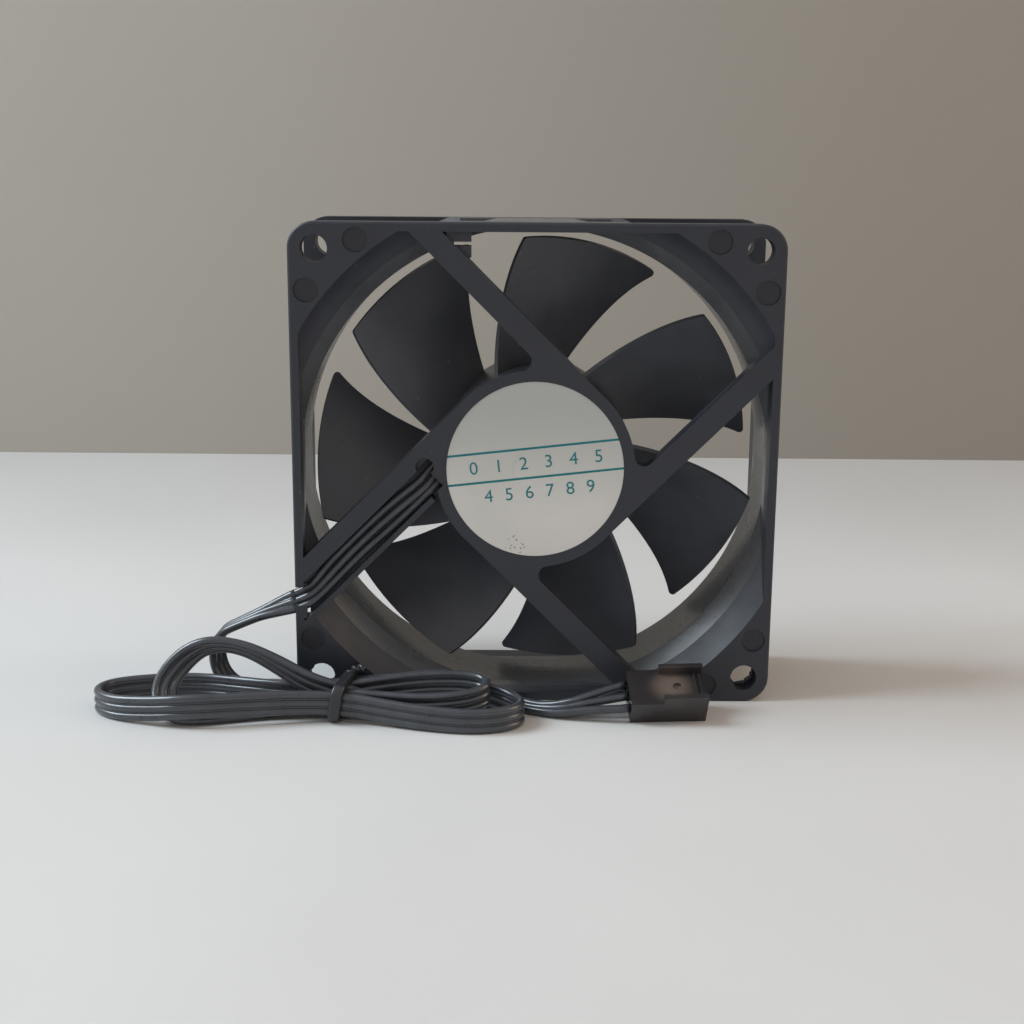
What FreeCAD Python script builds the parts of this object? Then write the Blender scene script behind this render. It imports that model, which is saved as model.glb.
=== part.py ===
import FreeCAD, Part
import math
import os
import re

import Sketcher
from FreeCAD import Placement, Rotation, Vector

# A square case fan with its axis along Y. The strut side, where the air leaves, faces -Y and the
# intake faces +Y. The fan stands on its lower edge, Z is up, and the origin is under its centre.
# Inside each body of the fan, x runs to the right, y up and z out of the strut side.

doc = FreeCAD.newDocument("case_fan")

# ---------------------------------------------------------------- driving sizes

SIZES = (
    ("frame_width", 80.0, "side of the square frame"),
    ("frame_depth", 25.0, "frame from face to face"),
    ("hole_inset", 4.25, "mounting holes' centres, in from the sides"),
    ("hole_radius", 2.2, "mounting hole"),
    ("corner_radius", 4.2, "outer corners of the flanges"),
    ("flange_thickness", 3.6, "each square flange"),
    ("edge_round", 0.45, "rounding of the flanges' outer edges"),
    ("throat_inset", 0.9, "bore of the duct, in from the sides"),
    ("duct_wall", 1.45, "wall of the duct"),
    ("flare_overrun", 4.5, "mouth of the duct's flare, out past the sides, which cut it flat"),
    ("flare_depth", 6.0, "flare, from the face to the throat"),
    ("side_wall", 1.5, "flat wall at the middle of each side, in the strut side's flare"),
    ("intake_wall", 0.8, "flat wall at the middle of each side, in the intake side's flare"),
    ("base_radius", 16.5, "motor base plate"),
    ("base_thickness", 1.6, "motor base plate"),
    ("rim_wall", 1.1, "rim under the motor base plate"),
    ("strut_inset", 0.05, "strut's outer edge, in from the motor base's edge"),
    ("strut_width", 3.8, "plain strut"),
    ("strut_thickness", 3.2, "struts, along the axis"),
    ("strut_fillet", 1.6, "corner between a strut and the base plate"),
    ("channel_top", 13.5, "upper side of the lead channel from the axis"),
    ("channel_bottom", 8.75, "lower side of the lead channel from the axis"),
    ("channel_wall", 0.85, "lower wall of the lead channel"),
    ("channel_floor", 0.8, "floor of the lead channel"),
    ("gate_inset", 3.9, "lead slot's start, in from the motor base's edge"),
    ("gate_length", 3.8, "lead slot along the channel"),
    ("eye_radius", 1.5, "round end of the lead slot"),
    ("notch_drop", 0.892, "lead notch's upper side, below the channel's at the side wall"),
    ("notch_height", 5.3, "lead notch in the side wall"),
    ("hook_height", 2.0, "lip over the lower part of the notch"),
    ("hook_thickness", 0.6, "lip over the notch, along the axis"),
    ("mark_radius", 2.0, "round ejector marks"),
    ("mark_depth", 0.45, "round ejector marks"),
    ("mark_inset", 2.85, "ejector marks, in from the nearer side"),
    ("mark_offset", 10.85, "ejector marks, in from the farther side"),
    ("web_start", 2.136, "left end of the small web, right of where the upper strut meets the side"),
    ("web_width", 4.0, "small web beside the upper strut"),
    ("web_inset", 5.6, "lower edge of the small web, in from the side"),
    ("label_margin", 1.9, "motor base around the label"),
    ("label_thickness", 0.12, "label"),
    ("label_recess", 0.2, "depth of the label's recess"),
    ("tube_bore", 3.0, "bearing tube, inside radius"),
    ("tube_outer", 3.9, "bearing tube, outside radius"),
    ("tube_end", 6.9, "bearing tube's free end beyond the middle plane"),
    ("standoff_radius", 0.9, "posts that carry the circuit board"),
    ("standoff_circle", 9.0, "circle of the posts"),
    ("fit_gap", 0.05, "clearance between pieces that are fixed together"),
    ("running_gap", 0.03, "radial clearance of the shaft in its bearing"),
    ("shaft_radius", 1.5, "shaft"),
    ("shaft_top", 9.3, "shaft's end on the strut side"),
    ("groove_radius", 1.15, "shaft in its groove"),
    ("groove_height", 8.3, "start of the shaft's groove"),
    ("groove_width", 0.5, "shaft's groove"),
    ("hub_radius", 16.15, "impeller hub"),
    ("hub_wall", 1.15, "wall of the hub"),
    ("hub_face", 11.4, "hub's intake face beyond the middle plane"),
    ("hub_face_thickness", 1.4, "wall of the hub's face"),
    ("hub_skirt", 7.6, "hub's open end on the strut side"),
    ("hub_round", 1.5, "rounding of the hub's intake edge"),
    ("tip_gap", 1.7, "from the blades' tips to the duct"),
    ("root_sink", 0.55, "blades' root, sunk into the hub's wall"),
    ("blade_count", 7, "blades"),
    ("blade_middle", 1.5, "blade thickness at half chord"),
    ("blade_edge", 0.7, "blade thickness at its edges"),
    ("blade_corner", 0.7, "rounding of the blade's tip corners"),
    ("yoke_wall", 0.8, "steel rotor cup"),
    ("yoke_top", 6.8, "rotor cup's open end"),
    ("magnet_wall", 1.5, "ring magnet"),
    ("magnet_top", 6.5, "ring magnet's strut-side end"),
    ("magnet_bottom", 3.6, "ring magnet's intake end beyond the middle plane"),
    ("insert_radius", 2.7, "brass insert in the hub"),
    ("insert_end", 7.6, "brass insert's free end beyond the middle plane"),
    ("sleeve_top", 7.4, "bearing sleeve's strut-side end"),
    ("sleeve_bottom", 6.55, "bearing sleeve's intake end beyond the middle plane"),
    ("washer_bore", 1.6, "bore of the seal ring and the thrust washer"),
    ("seal_thickness", 0.3, "oil seal ring"),
    ("thrust_thickness", 0.3, "thrust washer"),
    ("retainer_radius", 2.5, "split retaining washer"),
    ("retainer_thickness", 0.35, "split retaining washer"),
    ("cap_thickness", 1.3, "bearing cap"),
    ("board_gap", 1.8, "from the circuit board to the rim around it"),
    ("board_top", 9.0, "circuit board's face towards the base plate"),
    ("board_thickness", 1.0, "circuit board"),
    ("air_gap", 0.6, "from the stator's pole shoes to the magnet"),
    ("core_ring", 5.9, "stator core's inner ring, outside"),
    ("core_top", 4.5, "stator core's strut-side face"),
    ("core_height", 6.0, "stator core"),
    ("shoe_thickness", 1.7, "pole shoes"),
    ("arm_width", 3.0, "stator arms"),
    ("slot_width", 2.4, "gaps between the pole shoes"),
    ("insulator_thickness", 0.8, "winding insulators"),
    ("insulator_wall", 2.0, "outer wall of the winding insulators"),
    ("coil_inset", 0.2, "from the core's inner ring to the windings"),
    ("coil_space", 1.1, "from the windings to the pole shoes"),
    ("coil_thickness", 1.4, "windings"),
    ("pin_circle", 4.9, "winding pins"),
    ("pin_radius", 0.35, "winding pins"),
    ("lead_radius", 0.57, "one insulated lead"),
    ("ribbon_radius", 1.35, "round stand-in with the ribbon's own cross-section area"),
    ("hank_height", 5.2, "hank lying on its edge"),
    ("tie_thickness", 1.8, "wire tie"),
    ("tie_across", 8.0, "inside of the tie, across the strands"),
    ("tie_opening", 4.4, "inside of the tie, from below to above the strands"),
    ("plug_length", 12.6, "connector housing"),
    ("plug_width", 7.7, "connector housing"),
    ("plug_body", 4.3, "connector housing without its rails"),
    ("plug_rail", 0.95, "rails on the housing, across"),
    ("rail_height", 1.35, "rails on the housing, above its body"),
    ("pin_pitch", 2.54, "contacts of the connector"),
    ("plug_left", 15.7, "connector's front left corner, to the right of the fan's axis"),
    ("plug_front", 22.9, "connector's front left corner, in front of the middle plane"),
    ("plug_turn", 4.5, "connector turned on the surface, degrees"),
    ("plug_tilt", 28.0, "connector tipped onto its front edge, degrees"),
)

# Sizes that follow from the ones above.
FOLLOWING = (
    ("throat_radius", "frame_width / 2 - throat_inset", "bore of the duct"),
    ("flare_radius", "frame_width / 2 + flare_overrun", "mouth of the duct's flare"),
    ("hole_spacing", "frame_width - hole_inset * 2", "mounting holes, centre to centre"),
    ("mark_far", "frame_width / 2 - mark_inset", "ejector marks, long offset from the axis"),
    ("mark_near", "frame_width / 2 - mark_offset", "ejector marks, short offset from the axis"),
    ("strut_outer", "base_radius - strut_inset", "strut's outer edge from the axis"),
    ("gate_start", "base_radius - gate_inset", "lead slot's start along the channel"),
    ("gate_end", "gate_start + gate_length", "lead slot's end along the channel"),
    ("notch_top", "frame_width / 2 - side_wall - sqrt(2) * channel_top + notch_drop", "notch below the axis"),
    ("web_left", "frame_width / 2 - sqrt(2) * strut_outer - web_start", "small web's left end from the axis"),
    ("web_right", "web_left - web_width", "small web's right end from the axis"),
    ("web_bottom", "frame_width / 2 - web_inset", "small web's lower edge above the axis"),
    ("label_radius", "base_radius - label_margin", "label"),
    ("board_radius", "base_radius - rim_wall - board_gap", "circuit board"),
    ("blade_tip", "throat_radius - tip_gap", "blades' tip radius"),
    ("blade_root", "hub_radius - root_sink", "blades' root radius"),
    ("magnet_outer", "hub_radius - hub_wall - yoke_wall - fit_gap * 2", "ring magnet, outside"),
    ("magnet_radius", "magnet_outer - magnet_wall", "ring magnet, inside"),
    ("core_radius", "magnet_radius - air_gap", "stator core over its pole shoes"),
    ("coil_start", "core_ring + coil_inset", "windings, from the axis"),
    ("coil_length", "core_radius - shoe_thickness - coil_space - coil_start", "windings, along their arm"),
)

sheet = doc.addObject("Spreadsheet::Sheet", "Sizes")
given = [(alias, str(number), meaning) for alias, number, meaning in SIZES]
given += [(alias, "=" + formula, meaning) for alias, formula, meaning in FOLLOWING]
for row, (alias, content, meaning) in enumerate(given, start=1):
    sheet.set(f"A{row}", meaning)
    sheet.set(f"B{row}", content)
    sheet.setAlias(f"B{row}", alias)
doc.recompute()

SUBPARTS = []


def size(alias):
    """A size from the sheet, as a number."""
    return float(sheet.get(alias))


def bound(text):
    """An expression on the sheet, from a text in the names of its sizes."""
    return re.sub(r"[a-z_]{3,}", lambda word: word.group() if word.group() == "sqrt" else "Sizes." + word.group(), text)


# ---------------------------------------------------------------- sketches and features


def new_body(name, turn=0.0):
    """A body on the fan's axis, at mid depth, turned about the axis."""
    body = doc.addObject("PartDesign::Body", name)
    body.Label = name
    body.Placement = Placement(Vector(0, 0, 0), Rotation(Vector(1, 0, 0), 90) * Rotation(Vector(0, 0, 1), turn))
    body.setExpression("Placement.Base.z", bound("frame_width / 2"))
    SUBPARTS.append(body)
    return body


def new_sketch(body, name, plane="XY_Plane", height="0"):
    """A sketch on one of the body's own planes, raised by a height."""
    sketch = body.newObject("Sketcher::SketchObject", f"{body.Name}_{name}")
    support = next(feature for feature in body.Origin.OriginFeatures if feature.Role == plane)
    sketch.AttachmentSupport = [(support, "")]
    sketch.MapMode = "FlatFace"
    if height != "0":
        sketch.setExpression("AttachmentOffset.Base.z", bound(height))
    return sketch


def fix_point(sketch, shape, point, across, up):
    """Ties one point of a sketch to two expressions."""
    for kind, text in (("DistanceX", across), ("DistanceY", up)):
        place = sketch.addConstraint(Sketcher.Constraint(kind, shape, point, 1.0))
        sketch.setExpression(f"Constraints[{place}]", bound(text))


def polygon(sketch, corners):
    """A closed outline of straight lines, each corner given as two expressions."""
    first = sketch.GeometryCount
    count = len(corners)
    ring = [Vector(math.cos(step * math.tau / count), math.sin(step * math.tau / count), 0) for step in range(count)]
    for step in range(count):
        sketch.addGeometry(Part.LineSegment(ring[step], ring[(step + 1) % count]), False)
    for step in range(count):
        joined = first + (step + 1) % count
        sketch.addConstraint(Sketcher.Constraint("Coincident", first + step, 2, joined, 1))
    for step, (across, up) in enumerate(corners):
        fix_point(sketch, first + step, 1, across, up)


def rectangle(sketch, left, bottom, right, top):
    polygon(sketch, ((left, bottom), (right, bottom), (right, top), (left, top)))


def circle(sketch, radius, across="0", up="0"):
    """A circle with its radius and its centre given as expressions."""
    place = sketch.addGeometry(Part.Circle(Vector(1, 1, 0), Vector(0, 0, 1), 1.0), False)
    index = sketch.addConstraint(Sketcher.Constraint("Radius", place, 1.0))
    sketch.setExpression(f"Constraints[{index}]", bound(radius))
    fix_point(sketch, place, 3, across, up)


def pad(body, sketch, length):
    feature = body.newObject("PartDesign::Pad", f"{sketch.Name}_pad")
    feature.Profile = sketch
    feature.setExpression("Length", bound(length))
    body.Tip = feature
    return feature


def pocket(body, sketch, length):
    """A cut that goes down, away from the strut side, from the sketch."""
    feature = body.newObject("PartDesign::Pocket", f"{sketch.Name}_pocket")
    feature.Profile = sketch
    feature.setExpression("Length", bound(length))
    body.Tip = feature
    doc.recompute()
    check_cut(body, feature)
    return feature


def check_cut(body, feature):
    if feature.Shape.Volume >= feature.BaseFeature.Shape.Volume - 1e-6:
        raise RuntimeError(f"{feature.Name} cuts nothing from {body.Label}")


def turned(body, name, profile, cut=False):
    """A half profile of (radius, height) corners, turned about the axis, added or cut away."""
    sketch = new_sketch(body, name, "XZ_Plane")
    polygon(sketch, profile)
    kind = "PartDesign::Groove" if cut else "PartDesign::Revolution"
    feature = body.newObject(kind, f"{sketch.Name}_turned")
    feature.Profile = sketch
    feature.ReferenceAxis = (sketch, ["V_Axis"])
    feature.Angle = 360.0
    body.Tip = feature
    doc.recompute()
    if cut:
        check_cut(body, feature)
    return feature


def around(body, features, count):
    """Repeats features evenly about the axis."""
    pattern = body.newObject("PartDesign::PolarPattern", f"{features[0].Name}_around")
    pattern.Originals = features
    pattern.Axis = (next(axis for axis in body.Origin.OriginFeatures if axis.Role == "Z_Axis"), [""])
    pattern.Angle = 360.0
    pattern.Occurrences = count
    body.Tip = pattern
    doc.recompute()
    return pattern


def dress(body, kind, wanted, value):
    """A fillet or chamfer on the edges of the tip that a test picks."""
    doc.recompute()
    base = body.Tip
    names = [f"Edge{place}" for place, edge in enumerate(base.Shape.Edges, start=1) if wanted(edge)]
    feature = body.newObject(f"PartDesign::{kind}", f"{base.Name}_{kind.lower()}")
    feature.Base = (base, names)
    feature.setExpression("Radius" if kind == "Fillet" else "Size", bound(value))
    body.Tip = feature
    doc.recompute()
    return feature


def ring(name, inner, outer, low, high):
    """A plain turned ring from one height to another."""
    body = new_body(name)
    turned(body, "profile", ((inner, low), (outer, low), (outer, high), (inner, high)))
    return body


def solid(name, shape, placement=None):
    """A sub-part with a shape of its own."""
    feature = doc.addObject("Part::Feature", name)
    feature.Label = name
    feature.Shape = shape
    if placement is not None:
        feature.Placement = placement
    SUBPARTS.append(feature)
    return feature


# ---------------------------------------------------------------- frame

HALF = "frame_width / 2"
FACE = "frame_depth / 2"
INNER = "(frame_width / 2 - side_wall)"
INTAKE_INNER = "(frame_width / 2 - intake_wall)"
FLARE_OUTER = "(flare_radius + duct_wall)"
DUCT_OUTER = "(throat_radius + duct_wall)"
FLARE_END = "(frame_depth / 2 - flare_depth)"


def strut_point(offset, reach):
    """A point of the upper left strut, at an offset from the axis and at a height up to the wall."""
    return (f"sqrt(2) * {offset} - {reach}", reach)


def build_frame():
    """One moulding: duct, two flanges, struts, motor base, bearing tube and lead channel."""
    body = new_body("frame_moulding")
    turned(
        body,
        "duct",
        (
            ("0", f"-{FACE}"),
            (FLARE_OUTER, f"-{FACE}"),
            (DUCT_OUTER, f"-{FLARE_END}"),
            (DUCT_OUTER, FLARE_END),
            (FLARE_OUTER, FACE),
            ("0", FACE),
        ),
    )
    for side, height in (("strut_side", f"{FACE} - flange_thickness"), ("intake_side", f"-{FACE}")):
        flange = new_sketch(body, f"flange_{side}", height=height)
        rectangle(flange, f"-{HALF}", f"-{HALF}", HALF, HALF)
        pad(body, flange, "flange_thickness")
    trim = new_sketch(body, "trim", height=FACE)
    circle(trim, "frame_width")
    rectangle(trim, f"-{HALF}", f"-{HALF}", HALF, HALF)
    pocket(body, trim, "frame_depth")
    reach = size("frame_width") / 2

    def corner(edge):
        box = edge.BoundBox
        return box.ZLength > 1 and box.XLength < 0.01 and abs(abs(box.XMin) - reach) < 0.01 and abs(abs(box.YMin) - reach) < 0.01

    dress(body, "Fillet", corner, "corner_radius")
    turned(
        body,
        "airway",
        (
            ("0", f"-{FACE}"),
            ("flare_radius", f"-{FACE}"),
            ("throat_radius", f"-{FLARE_END}"),
            ("throat_radius", FLARE_END),
            ("flare_radius", FACE),
            ("0", FACE),
        ),
        cut=True,
    )
    build_side_walls(body)
    build_struts(body)
    build_motor_base(body)
    build_lead_channel(body)
    build_openings(body)
    return body


def build_side_walls(body):
    """Flat walls that close the flare at the middle of each side."""
    at_flange = "(throat_radius + (flare_radius - throat_radius) * (flare_depth - flange_thickness) / flare_depth)"
    walls = (
        ("strut_mouth", f"{FACE} - flange_thickness", "flange_thickness", "flare_radius", INNER),
        ("strut_throat", FLARE_END, "flare_depth", at_flange, INNER),
        ("intake_mouth", f"-{FACE}", "flange_thickness", "flare_radius", INTAKE_INNER),
        ("intake_throat", f"-{FACE}", "flare_depth", at_flange, INTAKE_INNER),
    )
    for name, height, length, radius, inner in walls:
        reach = f"sqrt({radius} * {radius} - {inner} * {inner})"
        sketch = new_sketch(body, f"wall_{name}", height=height)
        for sign in ("", "-"):
            rectangle(sketch, f"{sign}{inner}", f"-({reach})", f"{sign}{HALF}", reach)
            rectangle(sketch, f"-({reach})", f"{sign}{inner}", reach, f"{sign}{HALF}")
        pad(body, sketch, length)
    doc.recompute()


def build_struts(body):
    """Four struts, each tangent to the motor base, and the base plate with its rim."""
    wall_middle = "(frame_width / 2 - side_wall / 2)"
    strut = new_sketch(body, "strut", height=f"{FACE} - strut_thickness")
    inner_edge = "(strut_outer - strut_width)"
    polygon(
        strut,
        (
            (f"{inner_edge} / sqrt(2)", f"{inner_edge} / sqrt(2)"),
            ("strut_outer / sqrt(2)", "strut_outer / sqrt(2)"),
            strut_point("strut_outer", wall_middle),
            strut_point(inner_edge, wall_middle),
        ),
    )
    around(body, [pad(body, strut, "strut_thickness")], 4)
    rim = new_sketch(body, "rim", height=f"{FACE} - strut_thickness")
    circle(rim, "base_radius")
    pad(body, rim, "strut_thickness")
    inside = new_sketch(body, "inside", height=f"{FACE} - base_thickness")
    circle(inside, "base_radius - rim_wall")
    pocket(body, inside, "frame_depth - base_thickness")
    foot = size("base_radius") ** 2 - (size("strut_outer") - size("strut_width")) ** 2

    def meets_base(edge):
        box = edge.BoundBox
        upright = box.ZLength > 1 and box.XLength < 0.01 and box.YLength < 0.01
        radius = math.hypot(box.XMin, box.YMin)
        along = abs(abs(box.XMin) - abs(box.YMin)) / math.sqrt(2)
        return upright and abs(radius - size("base_radius")) < 0.01 and abs(along - math.sqrt(foot)) < 0.05

    dress(body, "Fillet", meets_base, "strut_fillet")


def build_motor_base(body):
    """Bearing tube, board posts, label recess and the hole for the bearing cap."""
    tube = new_sketch(body, "tube", height="-tube_end")
    circle(tube, "tube_outer")
    pad(body, tube, f"tube_end + {FACE} - base_thickness / 2")
    bore = new_sketch(body, "bore", height=FACE)
    circle(bore, "tube_bore")
    pocket(body, bore, "frame_depth")
    posts = new_sketch(body, "posts", height="board_top")
    circle(posts, "standoff_radius", "standoff_circle", "0")
    circle(posts, "standoff_radius", "-standoff_circle / 2", "standoff_circle * sqrt(3) / 2")
    circle(posts, "standoff_radius", "-standoff_circle / 2", "-standoff_circle * sqrt(3) / 2")
    pad(body, posts, f"{FACE} - base_thickness / 2 - board_top")
    recess = new_sketch(body, "label_recess", height=FACE)
    circle(recess, "label_radius + fit_gap")
    pocket(body, recess, "label_recess")


def channel_point(offset, along):
    """A point in the lower left strut, from its offset and its distance along the strut."""
    return (f"-({offset} + {along}) / sqrt(2)", f"({offset} - {along}) / sqrt(2)")


def wall_point(offset, reach):
    """A point of the lower left strut, at an offset from the axis and at a reach to the left."""
    return (f"-({reach})", f"sqrt(2) * {offset} - ({reach})")


def build_lead_channel(body):
    """The lower left strut is widened and hollowed for the three leads."""
    lower = "(channel_bottom - channel_wall)"
    wall_middle = "frame_width / 2 - side_wall / 2"
    wide = new_sketch(body, "channel", height=f"{FACE} - strut_thickness")
    start = "(base_radius - rim_wall)"
    polygon(
        wide,
        (
            channel_point(lower, start),
            channel_point("channel_top", start),
            wall_point("channel_top", wall_middle),
            wall_point(lower, wall_middle),
        ),
    )
    pad(body, wide, "strut_thickness")
    hollow = new_sketch(body, "hollow", height=FACE)
    polygon(
        hollow,
        (
            channel_point("channel_bottom", "gate_start"),
            channel_point("channel_top", "gate_start"),
            wall_point("channel_top", INNER),
            wall_point("channel_bottom", INNER),
        ),
    )
    pocket(body, hollow, "strut_thickness - channel_floor")
    gate = new_sketch(body, "gate", height=FACE)
    polygon(
        gate,
        (
            channel_point("channel_bottom", "gate_start"),
            channel_point("channel_top", "gate_start"),
            channel_point("channel_top", "gate_end"),
            channel_point("channel_bottom", "gate_end"),
        ),
    )
    pocket(body, gate, "strut_thickness")
    passage = new_sketch(body, "passage", height=f"{FACE} - base_thickness")
    polygon(
        passage,
        (
            channel_point("channel_bottom", "gate_start / 2"),
            channel_point("channel_top", "gate_start / 2"),
            channel_point("channel_top", "gate_end"),
            channel_point("channel_bottom", "gate_end"),
        ),
    )
    pocket(body, passage, "strut_thickness - base_thickness")
    eye = new_sketch(body, "eye", height=FACE)
    circle(eye, "eye_radius", *channel_point("channel_top - eye_radius / 4", "gate_start"))
    pocket(body, eye, "strut_thickness - channel_floor / 2")
    notch = new_sketch(body, "notch", height=FACE)
    rectangle(notch, f"-{HALF}", "-(notch_top + notch_height)", f"-{INNER} + side_wall / 2", "-notch_top")
    pocket(body, notch, "flange_thickness")
    hook = new_sketch(body, "hook", height=f"{FACE} - hook_thickness")
    rectangle(
        hook,
        f"-{HALF}",
        "-(notch_top + notch_height)",
        f"-{INNER} + side_wall / 3",
        "-(notch_top + notch_height - hook_height)",
    )
    pad(body, hook, "hook_thickness")


def build_openings(body):
    """Mounting holes, ejector marks, the small slit web and the rounded outer edges."""
    web = new_sketch(body, "web", height=f"{FACE} - strut_thickness")
    rectangle(web, "-web_left", "web_bottom", "-web_right", INNER)
    pad(body, web, "strut_thickness - base_thickness / 2")
    slit = new_sketch(body, "slit", height=FACE)
    rectangle(slit, "-(web_left - 1.2)", "web_bottom + 1.9", "-web_right", "web_bottom + 2.5")
    pocket(body, slit, "strut_thickness")
    holes = new_sketch(body, "holes", height=FACE)
    for across in ("", "-"):
        for up in ("", "-"):
            circle(holes, "hole_radius", f"{across}hole_spacing / 2", f"{up}hole_spacing / 2")
    pocket(body, holes, "frame_depth")
    marks = new_sketch(body, "marks", height=FACE)
    for across in ("", "-"):
        for up in ("", "-"):
            circle(marks, "mark_radius", f"{across}mark_far", f"{up}mark_near")
            circle(marks, "mark_radius", f"{across}mark_near", f"{up}mark_far")
    pocket(body, marks, "mark_depth")
    half = size("frame_width") / 2
    face = size("frame_depth") / 2

    def outline(edge):
        box = edge.BoundBox
        flat = box.ZLength < 0.01 and abs(abs(box.ZMin) - face) < 0.01
        return flat and edge.Length > 1.5 and all(on_outline(point.Point) for point in edge.Vertexes)

    def on_outline(point):
        corner = half - size("corner_radius")
        if min(abs(point.x), abs(point.y)) > corner + 0.01:
            return False
        return abs(max(abs(point.x), abs(point.y)) - half) < 0.01

    dress(body, "Fillet", outline, "edge_round")


def region(kind, name, sizes):
    """A plain solid that marks off a part of the moulding, its sizes and place given as expressions."""
    shape = doc.addObject(f"Part::{kind}", name)
    if kind == "Cylinder":
        shape.Placement = Placement(Vector(0, 0, 0), Rotation(Vector(1, 0, 0), 90))
    for place, text in sizes.items():
        shape.setExpression(place, bound(text))
    return shape


def combined(kind, name, base, tool):
    shape = doc.addObject(f"Part::{kind}", name)
    shape.Label = name
    shape.Base = base
    shape.Tool = tool
    return shape


def divide_frame(moulding):
    """The moulding's regions, face to face: motor mount with its struts, two flanges and the duct."""
    middle = region(
        "Cylinder",
        "mount_region",
        {
            "Radius": f"{INNER} - duct_wall / 4",
            "Height": "frame_depth * 2",
            "Placement.Base.y": "frame_depth",
            "Placement.Base.z": "frame_width / 2",
        },
    )
    depths = (
        ("frame_strut_flange", f"-{FACE}", "flange_thickness"),
        ("frame_duct", f"-{FACE} + flange_thickness", "frame_depth - flange_thickness * 2"),
        ("frame_intake_flange", f"{FACE} - flange_thickness", "flange_thickness"),
    )
    outside = combined("Cut", "frame_outside", moulding, middle)
    pieces = [combined("Common", "frame_motor_mount", moulding, middle)]
    for name, front, depth in depths:
        slab = region(
            "Box",
            f"{name}_region",
            {
                "Length": "frame_width",
                "Width": depth,
                "Height": "frame_width",
                "Placement.Base.x": f"-{HALF}",
                "Placement.Base.y": front,
            },
        )
        pieces.append(combined("Common", name, outside, slab))
    doc.recompute()
    total = sum(piece.Shape.Volume for piece in pieces)
    if abs(total - moulding.Shape.Volume) > 1e-4 * total:
        raise RuntimeError(f"the frame's regions hold {total:.1f} of {moulding.Shape.Volume:.1f} cubic mm")
    return pieces


SUBPARTS[:] = divide_frame(build_frame())

# ---------------------------------------------------------------- impeller

# The blade's two long edges, as the angle about the axis in degrees at a span of so many
# centimetres from the radius of 27 mm, and their heights at the root and at the tip.
EDGE_MIDDLE = 27.0
INTAKE_EDGE = (63.3, -6.6, 0.0, -0.87)
STRUT_EDGE = (102.0, -8.8, 1.05, -0.87)
INTAKE_HEIGHT = (-6.65, -8.5)
STRUT_HEIGHT = (6.4, 4.3)
CAMBER = 0.3
SPAN_STEPS = 7
CHORD_STEPS = 7


def blade_angle(edge, radius):
    span = (radius - EDGE_MIDDLE) / 10
    return math.radians(sum(term * span**power for power, term in enumerate(edge)))


def blade_height(ends, radius):
    span = (radius - size("hub_radius")) / (size("blade_tip") - size("hub_radius"))
    return ends[0] + (ends[1] - ends[0]) * span


def blade_point(radius, chord):
    """A point of the blade's middle surface, from the intake edge (0) to the strut-side edge (1)."""
    first, last = blade_angle(INTAKE_EDGE, radius), blade_angle(STRUT_EDGE, radius)
    low, high = blade_height(INTAKE_HEIGHT, radius), blade_height(STRUT_HEIGHT, radius)
    angle = first + (last - first) * chord
    height = low + (high - low) * ((1 - CAMBER) * chord + CAMBER * chord * chord)
    return Vector(radius * math.cos(angle), radius * math.sin(angle), height)


def blade_skin(side):
    """One face of the blade, half its thickness off the middle surface."""
    rows = []
    for span_step in range(SPAN_STEPS):
        radius = size("blade_root") + (size("blade_tip") - size("blade_root")) * span_step / (SPAN_STEPS - 1)
        row = []
        for chord_step in range(CHORD_STEPS):
            chord = chord_step / (CHORD_STEPS - 1)
            point = blade_point(radius, chord)
            step = 0.01
            along = blade_point(radius, chord + step) - blade_point(radius, chord - step)
            outward = blade_point(radius + step, chord) - blade_point(radius - step, chord)
            normal = along.cross(outward)
            normal.normalize()
            bulge = 4 * chord * (1 - chord)
            thickness = size("blade_edge") + (size("blade_middle") - size("blade_edge")) * bulge
            row.append(point + normal * (side * thickness / 2))
        rows.append(row)
    surface = Part.BSplineSurface()
    surface.interpolate(rows)
    return surface


def build_blade():
    """A solid between the two skins, closed by ruled faces along its four edges."""
    skins = [blade_skin(side) for side in (-1, 1)]
    faces = [skin.toShape() for skin in skins]
    for ends in (lambda skin: skin.uIso(skin.bounds()[0]), lambda skin: skin.uIso(skin.bounds()[1]),
                 lambda skin: skin.vIso(skin.bounds()[2]), lambda skin: skin.vIso(skin.bounds()[3])):
        lower, upper = (ends(skin).toShape() for skin in skins)
        faces.append(Part.makeRuledSurface(lower, upper))
    shell = Part.makeShell(faces)
    shell.sewShape()
    blade = Part.makeSolid(shell)
    if blade.Volume < 0:
        blade.reverse()
    corners = [edge for edge in blade.Edges if is_tip_corner(edge)]
    if len(corners) == 2:
        blade = blade.makeFillet(size("blade_corner"), corners)
    return blade


def is_tip_corner(edge):
    """Whether an edge is one of the two short ones that cross the blade's thickness at its tip."""
    ends = [math.hypot(point.X, point.Y) for point in edge.Vertexes]
    return edge.Length < 2 and len(ends) == 2 and min(ends) > size("blade_tip") - 1


def turned_shape(profile):
    """A solid turned about the axis from (radius, height) corners."""
    corners = [Vector(radius, 0, height) for radius, height in profile]
    face = Part.Face(Part.makePolygon(corners + corners[:1]))
    return face.revolve(Vector(0, 0, 0), Vector(0, 0, 1), 360)


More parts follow.
